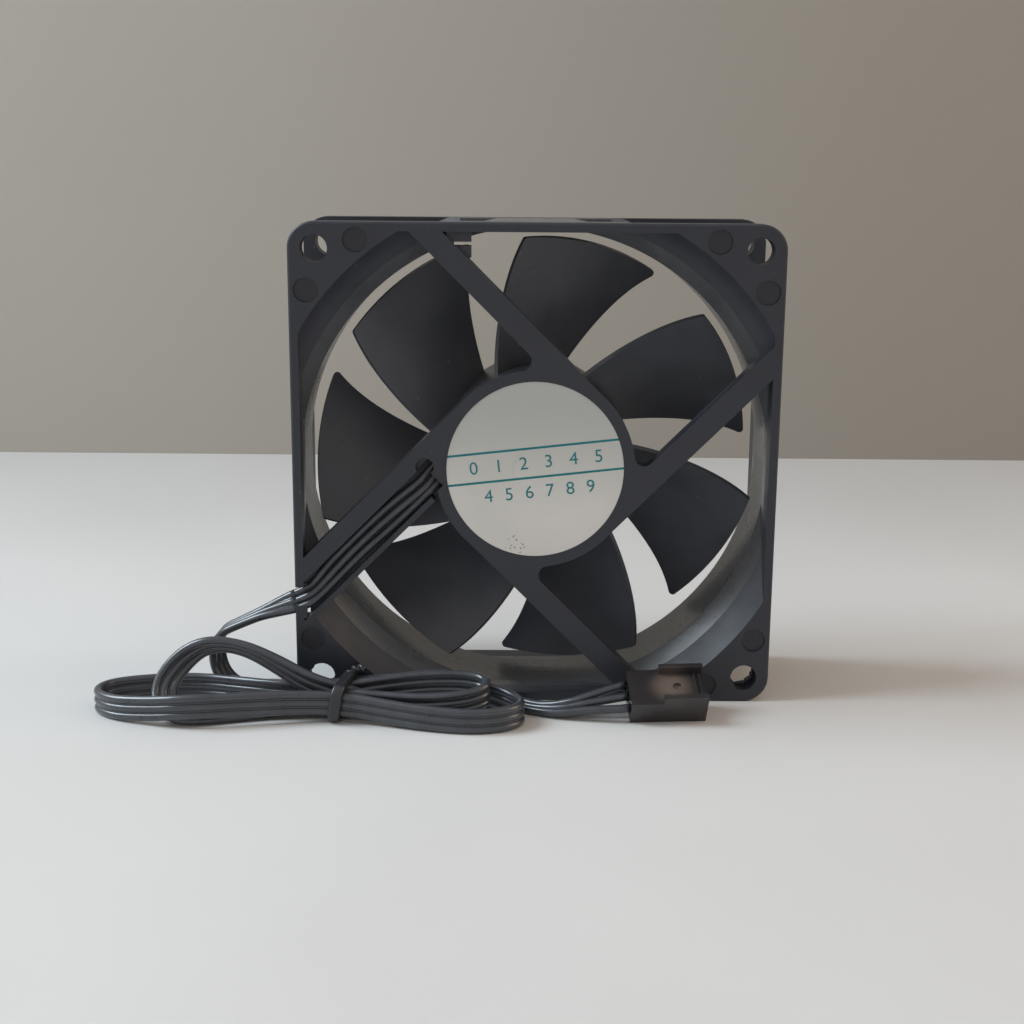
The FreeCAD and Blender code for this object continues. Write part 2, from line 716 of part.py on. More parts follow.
def build_impeller():
    """Hub cup and blades, one moulding."""
    outer = size("hub_radius")
    inner = outer - size("hub_wall")
    face = -size("hub_face")
    floor = face + size("hub_face_thickness")
    socket = size("insert_radius") + size("fit_gap")
    hub = turned_shape(
        ((0, face), (outer, face), (outer, size("hub_skirt")), (inner, size("hub_skirt")), (inner, floor), (0, floor))
    )
    rim = [
        edge
        for edge in hub.Edges
        if edge.Curve.TypeId == "Part::GeomCircle"
        and abs(edge.Curve.Radius - outer) < 0.01
        and abs(edge.Curve.Center.z - face) < 0.01
    ]
    hub = hub.makeFillet(size("hub_round"), rim)
    blade = build_blade()
    count = int(size("blade_count"))
    for turn in range(count):
        copy = blade.copy()
        copy.rotate(Vector(0, 0, 0), Vector(0, 0, 1), -360 * turn / count)
        hub = hub.fuse(copy)
    cavity = turned_shape(((0, floor), (inner, floor), (inner, size("hub_skirt")), (0, size("hub_skirt"))))
    seat = Part.makeCylinder(socket, size("hub_face_thickness") / 2, Vector(0, 0, floor - 0.5))
    hub = hub.cut(cavity).cut(seat)
    return solid("impeller", hub, on_axis())


def on_axis():
    """The place of a body on the fan's axis."""
    return Placement(Vector(0, 0, size("frame_width") / 2), Rotation(Vector(1, 0, 0), 90))


build_impeller()

# ---------------------------------------------------------------- rotor

YOKE_OUTER = "(hub_radius - hub_wall - fit_gap)"
YOKE_FLOOR = "(hub_face - hub_face_thickness - fit_gap)"


def build_rotor():
    """What turns with the impeller: cup, magnet, insert, shaft and its retaining washer."""
    yoke = new_body("rotor_yoke")
    turned(
        yoke,
        "profile",
        (
            ("insert_radius + fit_gap", f"-{YOKE_FLOOR}"),
            (YOKE_OUTER, f"-{YOKE_FLOOR}"),
            (YOKE_OUTER, "yoke_top"),
            (f"{YOKE_OUTER} - yoke_wall", "yoke_top"),
            (f"{YOKE_OUTER} - yoke_wall", f"-{YOKE_FLOOR} + yoke_wall"),
            ("insert_radius + fit_gap", f"-{YOKE_FLOOR} + yoke_wall"),
        ),
    )
    ring("ring_magnet", "magnet_radius", "magnet_outer", "-magnet_bottom", "magnet_top")
    insert_start = "-(hub_face - hub_face_thickness + 0.5)"
    ring("shaft_insert", "shaft_radius + fit_gap", "insert_radius", insert_start, "-insert_end")
    shaft = new_body("shaft")
    turned(
        shaft,
        "profile",
        (
            ("0", insert_start),
            ("shaft_radius", insert_start),
            ("shaft_radius", "groove_height"),
            ("groove_radius", "groove_height"),
            ("groove_radius", "groove_height + groove_width"),
            ("shaft_radius", "groove_height + groove_width"),
            ("shaft_radius", "shaft_top"),
            ("0", "shaft_top"),
        ),
    )
    washer_low = "groove_height + (groove_width - retainer_thickness) / 2"
    washer = ring(
        "retaining_washer", "groove_radius + fit_gap", "retainer_radius", washer_low, f"{washer_low} + retainer_thickness"
    )
    slit = new_sketch(washer, "slit", height=f"{washer_low} + retainer_thickness")
    rectangle(slit, "0", "-running_gap * 5", "retainer_radius * 2", "running_gap * 5")
    pocket(washer, slit, "retainer_thickness")


build_rotor()

# ---------------------------------------------------------------- bearing


def build_bearing():
    """What sits in the frame's bearing tube."""
    sleeve_outer = "tube_bore - fit_gap"
    ring("bearing_sleeve", "shaft_radius + running_gap", sleeve_outer, "-sleeve_bottom", "sleeve_top")
    ring("oil_seal_ring", "washer_bore", sleeve_outer, "-(sleeve_bottom + seal_thickness)", "-sleeve_bottom")
    ring("thrust_washer", "washer_bore", sleeve_outer, "sleeve_top", "sleeve_top + thrust_thickness")
    cap_top = f"{FACE} - label_recess - fit_gap"
    ring("bearing_cap", "0", sleeve_outer, f"{cap_top} - cap_thickness", cap_top)


build_bearing()

# ---------------------------------------------------------------- stator and board

CORE_BOTTOM = "(core_top - core_height)"


def build_core():
    """The laminated stack with four poles."""
    core = new_body("stator_core")
    hub = new_sketch(core, "ring", height=CORE_BOTTOM)
    circle(hub, "core_ring")
    circle(hub, "tube_outer + fit_gap")
    pad(core, hub, "core_height")
    shoes = new_sketch(core, "shoes", height=CORE_BOTTOM)
    circle(shoes, "core_radius")
    circle(shoes, "core_radius - shoe_thickness")
    pad(core, shoes, "core_height")
    arms = new_sketch(core, "arms", height=CORE_BOTTOM)
    rectangle(arms, "core_ring - 0.5", "-arm_width / 2", "core_radius - shoe_thickness / 2", "arm_width / 2")
    around(core, [pad(core, arms, "core_height")], 4)
    cut_slots(core, "core_top", "core_height")


def cut_slots(body, top, depth):
    """Four gaps between the pole shoes, on the diagonals."""
    reach = "core_radius"
    slot = new_sketch(body, "slot", height=top)
    polygon(
        slot,
        (
            ("core_ring", "core_ring - slot_width / sqrt(2)"),
            (f"{reach}", f"{reach} - slot_width / sqrt(2)"),
            (f"{reach}", f"{reach} + slot_width / sqrt(2)"),
            ("core_ring", "core_ring + slot_width / sqrt(2)"),
        ),
    )
    around(body, [pocket(body, slot, depth)], 4)


def build_insulator(name, low, wall_low):
    """A moulded plate on one end of the core, with a wall that keeps the windings on their arms."""
    body = new_body(name)
    plate = new_sketch(body, "ring", height=low)
    circle(plate, "core_ring")
    circle(plate, "tube_outer + fit_gap")
    pad(body, plate, "insulator_thickness")
    wall = new_sketch(body, "wall", height=wall_low)
    circle(wall, "core_radius - shoe_thickness + 0.5")
    circle(wall, "core_radius - shoe_thickness - 0.4")
    pad(body, wall, "insulator_wall")
    arms = new_sketch(body, "arms", height=low)
    rectangle(arms, "core_ring - 0.5", "-(arm_width / 2 + 0.3)", "core_radius - shoe_thickness", "arm_width / 2 + 0.3")
    around(body, [pad(body, arms, "insulator_thickness")], 4)
    cut_slots(body, f"{wall_low} + insulator_wall", "insulator_wall")


def build_winding(number):
    """One winding: a closed block of wire around its arm and both insulators."""
    body = new_body(f"winding_{number}", turn=90.0 * (number - 1))
    sketch = new_sketch(body, "profile", "YZ_Plane", "coil_start")
    inner_side = "(arm_width / 2 + 0.3 + fit_gap)"
    inner_low = f"({CORE_BOTTOM} - insulator_thickness - fit_gap)"
    inner_high = "(core_top + insulator_thickness + fit_gap)"
    rectangle(
        sketch,
        f"-({inner_side} + coil_thickness)",
        f"{inner_low} - coil_thickness",
        f"{inner_side} + coil_thickness",
        f"{inner_high} + coil_thickness",
    )
    rectangle(sketch, f"-{inner_side}", inner_low, inner_side, inner_high)
    pad(body, sketch, "coil_length")
    doc.recompute()
    outer = size("arm_width") / 2 + 0.3 + size("fit_gap") + size("coil_thickness")

    def outside(edge):
        box = edge.BoundBox
        return box.XLength > 1 and abs(abs(box.YMin) - outer) < 0.01

    dress(body, "Fillet", outside, "coil_thickness * 0.7")


def cylinders(name, radius, places, low, high):
    """A group of plain round pins."""
    pins = [Part.makeCylinder(radius, high - low, Vector(across, up, low)) for across, up in places]
    return solid(name, Part.makeCompound(pins), on_axis())


def block(name, left, bottom, width, height, low, high):
    """A small board component with rounded upright edges."""
    body = new_body(name)
    sketch = new_sketch(body, "outline", height=low)
    rectangle(sketch, left, bottom, f"{left} + {width}", f"{bottom} + {height}")
    pad(body, sketch, f"({high}) - ({low})")
    return body


def build_board():
    """Circuit board with the driver chip, resistor, capacitor and the winding pins."""
    board_low = "(board_top - board_thickness)"
    board = ring("circuit_board", "tube_outer + fit_gap", "board_radius", board_low, "board_top")
    holes = new_sketch(board, "holes", height="board_top")
    angles = [math.radians(45 + 90 * step) for step in range(3)]
    places = [(math.cos(angle), math.sin(angle)) for angle in angles]
    for across, up in places:
        circle(holes, "pin_radius + fit_gap", f"pin_circle * {across:.6f}", f"pin_circle * {up:.6f}")
    pocket(board, holes, "board_thickness")
    circle_radius = size("pin_circle")
    start = size("core_top") + size("insulator_thickness")
    places = [(circle_radius * across, circle_radius * up) for across, up in places]
    cylinders("winding_pins", size("pin_radius"), places, start, size("board_top") + 0.5)
    block("driver_chip", "9.4", "-2.1", "2.9", "4.2", f"{board_low} - 0.9", board_low)
    block("board_resistor", "-5.6", "9.0", "2.2", "1.3", "board_top", "board_top + 0.6")
    block("board_capacitor", "3.4", "9.0", "2.2", "1.5", "board_top", "board_top + 0.9")


build_core()
build_insulator("insulator_lead_side", "core_top", "core_top")
build_insulator(
    "insulator_intake_side",
    f"{CORE_BOTTOM} - insulator_thickness",
    f"{CORE_BOTTOM} - insulator_wall",
)
for winding in (1, 2, 3, 4):
    build_winding(winding)
build_board()
ring("motor_label", "0", "label_radius", f"{FACE} - label_recess", f"{FACE} - label_recess + label_thickness")

# ---------------------------------------------------------------- leads and ribbon


def rounded_path(points):
    """Straight runs joined by tangent arcs as large as the runs allow, and the arcs' radii."""
    edges = []
    radii = []
    start = points[0]
    for before, corner, after in zip(points, points[1:], points[2:]):
        back = before - corner
        ahead = after - corner
        half_turn = (math.pi - back.getAngle(ahead)) / 2
        tangent = 0.45 * min(back.Length, ahead.Length)
        radius = tangent / math.tan(half_turn)
        towards = (back.normalize() + ahead.normalize()).normalize()
        middle = corner + towards * (radius / math.cos(half_turn) - radius)
        arc_start = corner + back * tangent
        arc_end = corner + ahead * tangent
        edges.append(Part.LineSegment(start, arc_start).toShape())
        edges.append(Part.Arc(arc_start, middle, arc_end).toShape())
        start = arc_end
        radii.append(radius)
    edges.append(Part.LineSegment(start, points[-1]).toShape())
    return Part.Wire(edges), radii


def tube(name, points, radius, placement=None):
    """A round tube along a rounded path, checked against its section times its length."""
    corners = [Vector(*point) for point in points]
    path, radii = rounded_path(corners)
    section = Part.Wire(Part.makeCircle(radius, corners[0], corners[1] - corners[0]))
    shape = path.makePipeShell([section], True, False)
    expected = math.pi * radius**2 * path.Length
    if abs(shape.Volume - expected) > 0.02 * expected:
        raise RuntimeError(f"{name} has volume {shape.Volume:.2f} and not {expected:.2f}")
    print(f"{name}: length {path.Length:.1f} mm, radii", ", ".join(f"{each:.1f}" for each in radii))
    return solid(name, shape, placement)


def build_leads():
    """Three leads from the board through the slot and along the strut channel to the notch."""
    radius = size("lead_radius")
    under = size("board_top") + radius + size("fit_gap")
    above = size("frame_depth") / 2 - size("strut_thickness") + size("channel_floor") + radius + size("fit_gap")
    routes = {
        "lead_1": (
            ((5.0, 11.7), (9.0, 12.3), (12.4, 12.5), (15.6, 12.2), (19.4, 12.6), (24.0, 12.7), (31.0, 12.7), (37.0, 12.5)),
            ((-37.6, -20.75), (-39.2, -21.3)),
        ),
        "lead_2": (
            ((5.8, 10.2), (9.0, 10.85), (12.4, 11.05), (15.6, 10.7), (20.0, 11.0), (26.0, 10.95), (32.0, 11.1), (36.4, 10.95)),
            ((-36.9, -21.9), (-39.2, -22.75)),
        ),
        "lead_3": (
            ((6.6, 8.75), (9.2, 9.4), (12.4, 9.6), (15.6, 9.35), (20.0, 9.5), (25.0, 9.45), (30.0, 9.6), (36.2, 9.45)),
            ((-36.35, -23.05), (-39.2, -24.25)),
        ),
    }
    for name, (strut_places, notch_places) in routes.items():
        heights = [under] * 3 + [above] * (len(strut_places) - 3)
        points = [
            (-(offset + along) / math.sqrt(2), (offset - along) / math.sqrt(2), height)
            for (along, offset), height in zip(strut_places, heights)
        ]
        points += [(across, up, height) for (across, up), height in zip(notch_places, (above + 0.02, above + 0.04))]
        tube(name, points, radius, on_axis())


# The ribbon's routes, chosen by hand: across, in depth and above the surface it lies on.
DROP_ROUTE = (
    (-39.2, -10.5, 16.8),
    (-44.9, -10.4, 14.9),
    (-49.4, -9.8, 12.9),
    (-53.0, -9.1, 11.0),
    (-54.0, -8.6, 7.6),
    (-53.2, -8.8, 4.0),
    (-50.0, -10.2, 2.2),
)
TAIL_ROUTE = (
    (0.2, -18.4, 1.4),
    (5.0, -20.4, 1.5),
    (10.2, -20.9, 2.9),
    (15.6, -20.5, 3.7),
)
HANK_OUTLINE = (
    (-73.2, -18.2),
    (-71.4, -22.6),
    (-66.0, -25.0),
    (-60.0, -27.0),
    (-53.0, -27.4),
    (-46.0, -25.8),
    (-38.0, -24.4),
    (-29.0, -24.4),
    (-24.0, -26.2),
    (-17.5, -28.5),
    (-10.0, -29.9),
    (-4.2, -28.8),
    (-1.0, -25.4),
    (-0.8, -21.0),
    (-0.2, -17.2),
    (-3.2, -13.9),
    (-8.0, -12.9),
    (-18.0, -13.6),
    (-25.0, -15.2),
    (-37.0, -15.2),
    (-43.0, -12.6),
    (-50.0, -9.0),
    (-57.0, -9.6),
    (-65.0, -10.6),
    (-71.6, -13.4),
)
ARCH_OUTLINE = (
    (-61.8, 1.0),
    (-61.8, 6.0),
    (-58.6, 11.2),
    (-51.5, 13.9),
    (-44.0, 11.6),
    (-35.0, 5.0),
    (-35.0, 1.0),
)
ARCH_BACK = -17.2
ARCH_FRONT = -21.6


def extruded(points, direction):
    """A prism from a closed outline."""
    face = Part.Face(Part.makePolygon([*points, points[0]]))
    return face.extrude(direction)


def build_hank():
    """The outer shape of the tied hank: loops lying on edge, and one that stands up as an arch."""
    height = size("hank_height")
    flat = extruded([Vector(across, depth, 0) for across, depth in HANK_OUTLINE], Vector(0, 0, height))
    arch = extruded(
        [Vector(across, ARCH_FRONT, up) for across, up in ARCH_OUTLINE],
        Vector(0, ARCH_BACK - ARCH_FRONT, 0),
    )
    return solid("lead_hank", flat.fuse(arch).removeSplitter())


TIE_PLACE = (-31.0, -20.0)
TIE_END = ((-30.6, -18.2, 6.4), (-28.9, -17.6, 7.3), (-27.4, -17.3, 8.5))


def rounded_block(width, depth, height, radius, centre):
    """A block with its edges along X rounded."""
    shape = Part.makeBox(width, depth, height, centre - Vector(width / 2, depth / 2, height / 2))
    long_edges = [edge for edge in shape.Edges if edge.BoundBox.XLength > width / 2]
    return shape.makeFillet(radius, long_edges)


def build_tie():
    """A wire tie round the strands, its end twisted and left standing."""
    thick = size("tie_thickness")
    across = size("tie_across")
    opening = size("tie_opening")
    centre = Vector(TIE_PLACE[0], TIE_PLACE[1], thick / 2 + opening / 2 + thick / 2)
    outer = rounded_block(thick, across + 2 * thick, opening + 2 * thick, opening / 2 + thick * 0.9, centre)
    inner = rounded_block(thick * 2, across, opening, opening / 2 - 0.1, centre)
    band = outer.cut(inner)
    corners = [Vector(*point) for point in TIE_END]
    path, _ = rounded_path(corners)
    section = Part.Wire(Part.makeCircle(thick * 0.3, corners[0], corners[1] - corners[0]))
    end = path.makePipeShell([section], True, False)
    return solid("hank_tie", band.fuse(end))


build_leads()
tube("lead_drop", DROP_ROUTE, size("ribbon_radius"))
build_hank()
build_tie()
tube("lead_tail", TAIL_ROUTE, size("ribbon_radius"))

# ---------------------------------------------------------------- connector


def plug_placement():
    """The connector lies tipped onto its front edge, turned a little."""
    corner = Vector(size("plug_left"), -size("plug_front"), 0)
    return Placement(corner, Rotation(Vector(0, 0, 1), size("plug_turn")) * Rotation(Vector(1, 0, 0), size("plug_tilt")))


def build_plug():
    """Housing with two rails, a latch bed and three contact chambers, and the contacts in them."""
    body = doc.addObject("PartDesign::Body", "connector_housing")
    body.Label = "connector_housing"
    body.Placement = plug_placement()
    SUBPARTS.append(body)
    block_outline = new_sketch(body, "block")
    rectangle(block_outline, "0", "0", "plug_length", "plug_width")
    pad(body, block_outline, "plug_body")
    rails = new_sketch(body, "rails", height="plug_body / 2")
    rectangle(rails, "plug_length * 0.42", "0", "plug_length", "plug_rail")
    rectangle(rails, "plug_length * 0.42", "plug_width - plug_rail", "plug_length", "plug_width")
    pad(body, rails, "plug_body / 2 + rail_height")
    steps = new_sketch(body, "steps", height="plug_body - plug_rail / 2")
    for place in ("0.86", "0.93"):
        rectangle(
            steps,
            f"plug_length * {place}",
            "plug_rail + 0.3",
            f"plug_length * {place} + 0.3",
            "plug_width - plug_rail - 0.3",
        )
    pad(body, steps, "plug_rail * 0.9")
    dimple = new_sketch(body, "dimple", height="plug_body")
    circle(dimple, "plug_rail * 0.85", "plug_length * 0.64", "plug_width / 2")
    pocket(body, dimple, "plug_rail / 2")
    chambers = new_sketch(body, "chambers", "YZ_Plane")
    half = "(pin_pitch / 2 - 0.3)"
    for place in ("- pin_pitch", "", "+ pin_pitch"):
        middle = f"(plug_width / 2 {place})"
        rectangle(chambers, f"{middle} - {half}", f"plug_body / 2 - {half}", f"{middle} + {half}", f"plug_body / 2 + {half}")
    cut = body.newObject("PartDesign::Pocket", "chambers_pocket")
    cut.Profile = chambers
    cut.Reversed = True
    cut.setExpression("Length", bound("plug_length"))
    body.Tip = cut
    doc.recompute()
    check_cut(body, cut)
    contacts = []
    width = size("pin_pitch") - 0.9
    for place in (-1, 0, 1):
        middle = Vector(size("plug_length") * 0.3, size("plug_width") / 2 + place * size("pin_pitch"), size("plug_body") / 2)
        outer = Part.makeBox(
            size("plug_length") * 0.6, width, width, middle - Vector(0, width / 2, width / 2)
        )
        inner = Part.makeBox(
            size("plug_length") * 0.6, width - 0.5, width - 0.5, middle + Vector(0.4, 0.25 - width / 2, 0.25 - width / 2)
        )
        contacts.append(outer.cut(inner))
    solid("connector_contacts", Part.makeCompound(contacts), plug_placement())


build_plug()

# ---------------------------------------------------------------- checks and files

doc.recompute()
for item in doc.Objects:
    if "Invalid" in item.State or "Error" in item.State:
        raise RuntimeError(f"{item.Name} is {item.State}")
for part in SUBPARTS:
    if part.Shape.isNull() or not part.Shape.isValid():
        raise RuntimeError(f"{part.Label} has no valid shape")

os.makedirs("parts", exist_ok=True)
for part in SUBPARTS:
    part.Shape.exportStep(f"parts/{part.Label}.step")
print(len(SUBPARTS), "sub-parts written")
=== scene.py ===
import math

import bmesh
import bpy
from mathutils import Euler, Matrix, Vector


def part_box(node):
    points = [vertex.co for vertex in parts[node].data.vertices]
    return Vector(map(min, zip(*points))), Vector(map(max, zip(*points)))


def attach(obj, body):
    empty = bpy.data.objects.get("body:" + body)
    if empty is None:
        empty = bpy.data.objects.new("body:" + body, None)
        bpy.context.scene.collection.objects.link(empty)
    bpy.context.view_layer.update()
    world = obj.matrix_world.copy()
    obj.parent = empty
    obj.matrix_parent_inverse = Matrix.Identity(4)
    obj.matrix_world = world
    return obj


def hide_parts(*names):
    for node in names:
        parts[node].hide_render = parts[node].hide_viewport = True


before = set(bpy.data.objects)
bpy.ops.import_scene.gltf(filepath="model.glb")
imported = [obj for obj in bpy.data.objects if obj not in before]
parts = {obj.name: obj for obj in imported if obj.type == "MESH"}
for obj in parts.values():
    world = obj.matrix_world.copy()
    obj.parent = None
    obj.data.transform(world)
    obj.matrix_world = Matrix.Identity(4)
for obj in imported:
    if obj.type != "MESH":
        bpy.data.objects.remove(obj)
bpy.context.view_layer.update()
bpy.ops.object.select_all(action="DESELECT")

# ---------------------------------------------------------------- camera
# The camera stands low in front of the strut side and looks down on it a little, from near the
# middle. It is turned and rolled by less than half a degree.

CAMERA_PLACE = (-0.005477, -0.258413, 0.089348)
CAMERA_YAW, CAMERA_PITCH, CAMERA_ROLL = -0.3995, -12.927, -0.4487
CAMERA_LENS = 53.59

bpy.ops.object.camera_add(location=CAMERA_PLACE)
camera = bpy.context.object
camera.name = "camera"
camera.data.sensor_width = 36.0
camera.data.lens = CAMERA_LENS
camera.data.clip_start = 0.005
turn = (
    Matrix.Rotation(math.radians(CAMERA_YAW), 3, "Z")
    @ Matrix.Rotation(math.radians(CAMERA_PITCH), 3, "X")
    @ Matrix.Rotation(math.radians(CAMERA_ROLL), 3, "Y")
    @ Matrix.Rotation(math.radians(90), 3, "X")
)
camera.rotation_euler = turn.to_euler()
bpy.context.scene.camera = camera

# ---------------------------------------------------------------- ribbon lead
# Three insulated wires bonded side by side, 4.2 mm wide. The ribbon leaves the notch, drops to the
# surface and is wound into a flat hank that stands on its edge, with one turn raised as an arch;
# near the connector the bond is split and the wires fan out to the contacts.

WIRE_RADIUS = 0.0007
WIRE_PITCH = 0.0014
CONTACT_PITCH = 0.00254
FAN_OUT = 0.010
WEB_HALF = 0.00034
WEB_SHARE = 0.45
WIRE_SIDES = 14
# Each place is in millimetres, with the direction of the ribbon's width there.
RIBBON_ROUTE = (
    # out of the notch and down
    ((-39.9, -10.6, 16.9), (-0.12, 0.55, 0.82)),
    ((-44.9, -10.4, 15.1), (-0.05, 0.98, 0.16)),
    ((-49.4, -9.8, 12.9), (0, 1, 0)),
    ((-53.2, -9.1, 11), (0, 1, 0)),
    ((-54.3, -8.4, 7.6), (0.38, 0.92, 0)),
    ((-53.6, -8.6, 3.4), (0.45, 0.89, 0)),
    ((-50.2, -10, 1.1), (0.35, 0.93, 0.1)),
    ((-43.8, -14, 1.9), (0, 0.5, 0.86)),
    ((-37.5, -16.3, 2.8), (0, 0, 1)),
    ((-31, -16.9, 3.3), (0, 0, 1)),
    # outer loop
    ((-24, -16.1, 3.9), (0, 0, 1)),
    ((-16.5, -15.5, 3.9), (0, 0, 1)),
    ((-8.9, -16.8, 3.2), (0, 0, 1)),
    ((-3.8, -19.3, 2.2), (0, 0, 1)),
    ((-1.6, -23.4, 2.1), (0, 0, 1)),
    ((-4, -27.1, 2.1), (0, 0, 1)),
    ((-10, -28.6, 2.1), (0, 0, 1)),
    ((-17.5, -27.2, 2.2), (0, 0, 1)),
    ((-24.5, -24.9, 2.5), (0, 0, 1)),
    ((-31, -23.1, 3.1), (0, 0, 1)),
    # left loop
    ((-38, -23.3, 3.4), (0, 0, 1)),
    ((-47.5, -25.3, 3.6), (0, 0, 1)),
    ((-56, -26.9, 3.7), (0, 0, 1)),
    ((-63, -24.9, 2.7), (0, 0, 1)),
    ((-69.2, -22.6, 2.1), (0, 0, 1)),
    ((-72.8, -18.6, 2.1), (0, 0, 1)),
    ((-71.2, -14.4, 2.1), (0, 0, 1)),
    ((-65, -12, 2.1), (0, 0, 1)),
    ((-57, -11.1, 2.1), (0, 0, 1)),
    ((-49.2, -13.7, 2.3), (0, 0, 1)),
    ((-42.6, -16.9, 2.8), (0, 0, 1)),
    ((-37, -18.2, 3.2), (0, 0, 1)),
    ((-31, -18.45, 3.3), (0, 0, 1)),
    # upper right loop
    ((-25, -17.9, 4.2), (0, 0, 1)),
    ((-18, -17.3, 4.9), (0, 0, 1)),
    ((-11.5, -17.4, 5), (0, 0, 1)),
    ((-8, -18.9, 4.7), (0, 0, 1)),
    ((-7.6, -21.7, 4.2), (0, 0, 1)),
    ((-11.2, -23.8, 3.6), (0, 0, 1)),
    ((-18, -23.9, 3), (0, 0, 1)),
    ((-25, -22.6, 3), (0, 0, 1)),
    ((-31, -21.55, 3.2), (0, 0, 1)),
    # arch
    ((-36.5, -20.9, 2.3), (0, -0.6, 0.8)),
    ((-42.5, -20.4, 0.8), (0, -1, 0.15)),
    ((-49.5, -22.2, 0.72), (0.1, -1, 0)),
    ((-55.6, -24.1, 0.72), (-0.1, -1, 0)),
    ((-59.6, -23.3, 1.3), (-0.6, -0.78, 0.1)),
    ((-61.2, -20.4, 4.4), (-0.97, -0.1, 0.1)),
    ((-58.3, -18.6, 8.8), (-0.8, -0.3, 0.45)),
    ((-54, -18, 11.6), (-0.3, -0.64, 0.72)),
    ((-48.5, -18, 11.2), (0.15, -0.72, 0.66)),
    ((-42.8, -18.6, 8.6), (0.3, -0.55, 0.75)),
    ((-37, -19.6, 5.2), (0.35, -0.25, 0.9)),
    ((-31, -20, 3.4), (0, 0, 1)),
    # tail to the connector
    ((-26.5, -19.9, 2), (0, -0.5, 0.86)),
    ((-22.5, -18.6, 0.75), (0.4, -0.9, 0)),
    ((-18, -16, 0.7), (0.4, -0.9, 0)),
    ((-13, -14.9, 0.7), (0.05, -1, 0)),
    ((-7.6, -14.9, 0.7), (-0.05, -1, 0)),
    ((-3, -15.6, 0.72), (-0.3, -0.95, 0)),
    ((0.6, -18.4, 0.8), (-0.4, -0.9, 0)),
    ((5.0, -20.4, 1.5), (0.1, -0.96, -0.2)),
    ((10.2, -20.9, 2.9), (0, -0.92, -0.4)),
    ((15.5, -20.5, 3.7), (0.07, -0.88, -0.47)),
)


def line_points(name, corners, steps=10):
    """The points along a smooth line whose control points are the given places, in metres."""
    line = bpy.data.curves.new(name, "CURVE")
    line.dimensions = "3D"
    line.resolution_u = steps
    spline = line.splines.new("NURBS")
    spline.points.add(len(corners) - 1)
    for point, corner in zip(spline.points, corners):
        point.co = (*corner, 1.0)
    spline.order_u = 3
    spline.use_endpoint_u = True
    holder = bpy.data.objects.new(name, line)
    bpy.context.scene.collection.objects.link(holder)
    bpy.context.view_layer.update()
    mesh = bpy.data.meshes.new_from_object(holder)
    found = [vertex.co.copy() for vertex in mesh.vertices]
    bpy.data.objects.remove(holder)
    bpy.data.curves.remove(line)
    bpy.data.meshes.remove(mesh)
    return found


def along_lengths(points):
    """The length along a line from its start to each of its points."""
    total = 0.0
    lengths = [0.0]
    for before, after in zip(points, points[1:]):
        total += (after - before).length
        lengths.append(total)
    return lengths


def headings(points):
    """The direction of a line at each of its points."""
    return [
        (points[min(place + 1, len(points) - 1)] - points[max(place - 1, 0)]).normalized()
        for place in range(len(points))
    ]


def new_piece(name, mesh_form, body, material):
    """A finished mesh object from a bmesh, riding on a body and wearing a material."""
    bmesh.ops.remove_doubles(mesh_form, verts=mesh_form.verts, dist=1e-7)
    bmesh.ops.recalc_face_normals(mesh_form, faces=mesh_form.faces)
    for face in mesh_form.faces:
        face.smooth = True
    mesh = bpy.data.meshes.new(name)
    mesh_form.to_mesh(mesh)
    mesh_form.free()
    mesh.materials.append(material)
    piece = bpy.data.objects.new(name, mesh)
    bpy.context.scene.collection.objects.link(piece)
    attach(piece, body)
    return piece


def sweep(form, centres, outlines):
    """Skins a closed tube through outlines, each a list of places around its centre, and caps it."""
    lengths = along_lengths(centres)
    travel = form.loops.layers.uv.verify()
    rings = [[form.verts.new(place) for place in outline] for outline in outlines]
    count = len(rings[0])
    for step, (ring, after) in enumerate(zip(rings, rings[1:])):
        for side in range(count):
            corners = (ring[side], ring[(side + 1) % count], after[(side + 1) % count], after[side])
            face = form.faces.new(corners)
            marks = ((side, step), (side + 1, step), (side + 1, step + 1), (side, step + 1))
            for loop, (around, along) in zip(face.loops, marks):
                loop[travel].uv = (lengths[along], around / count)
    for ring in (rings[0], rings[-1]):
        form.faces.new(ring)


def round_outline(centre, across, over, radius):
    """The places round a wire at one of its centres."""
    turns = [math.tau * side / WIRE_SIDES for side in range(WIRE_SIDES)]
    return [centre + (across * math.cos(turn) + over * math.sin(turn)) * radius for turn in turns]


DUST_SCALE = 420.0
DUST_CORE, DUST_EDGE = 0.05, 0.11
DUST_RARITY = 0.72
DUST_TONE = (0.3, 0.29, 0.27, 1.0)


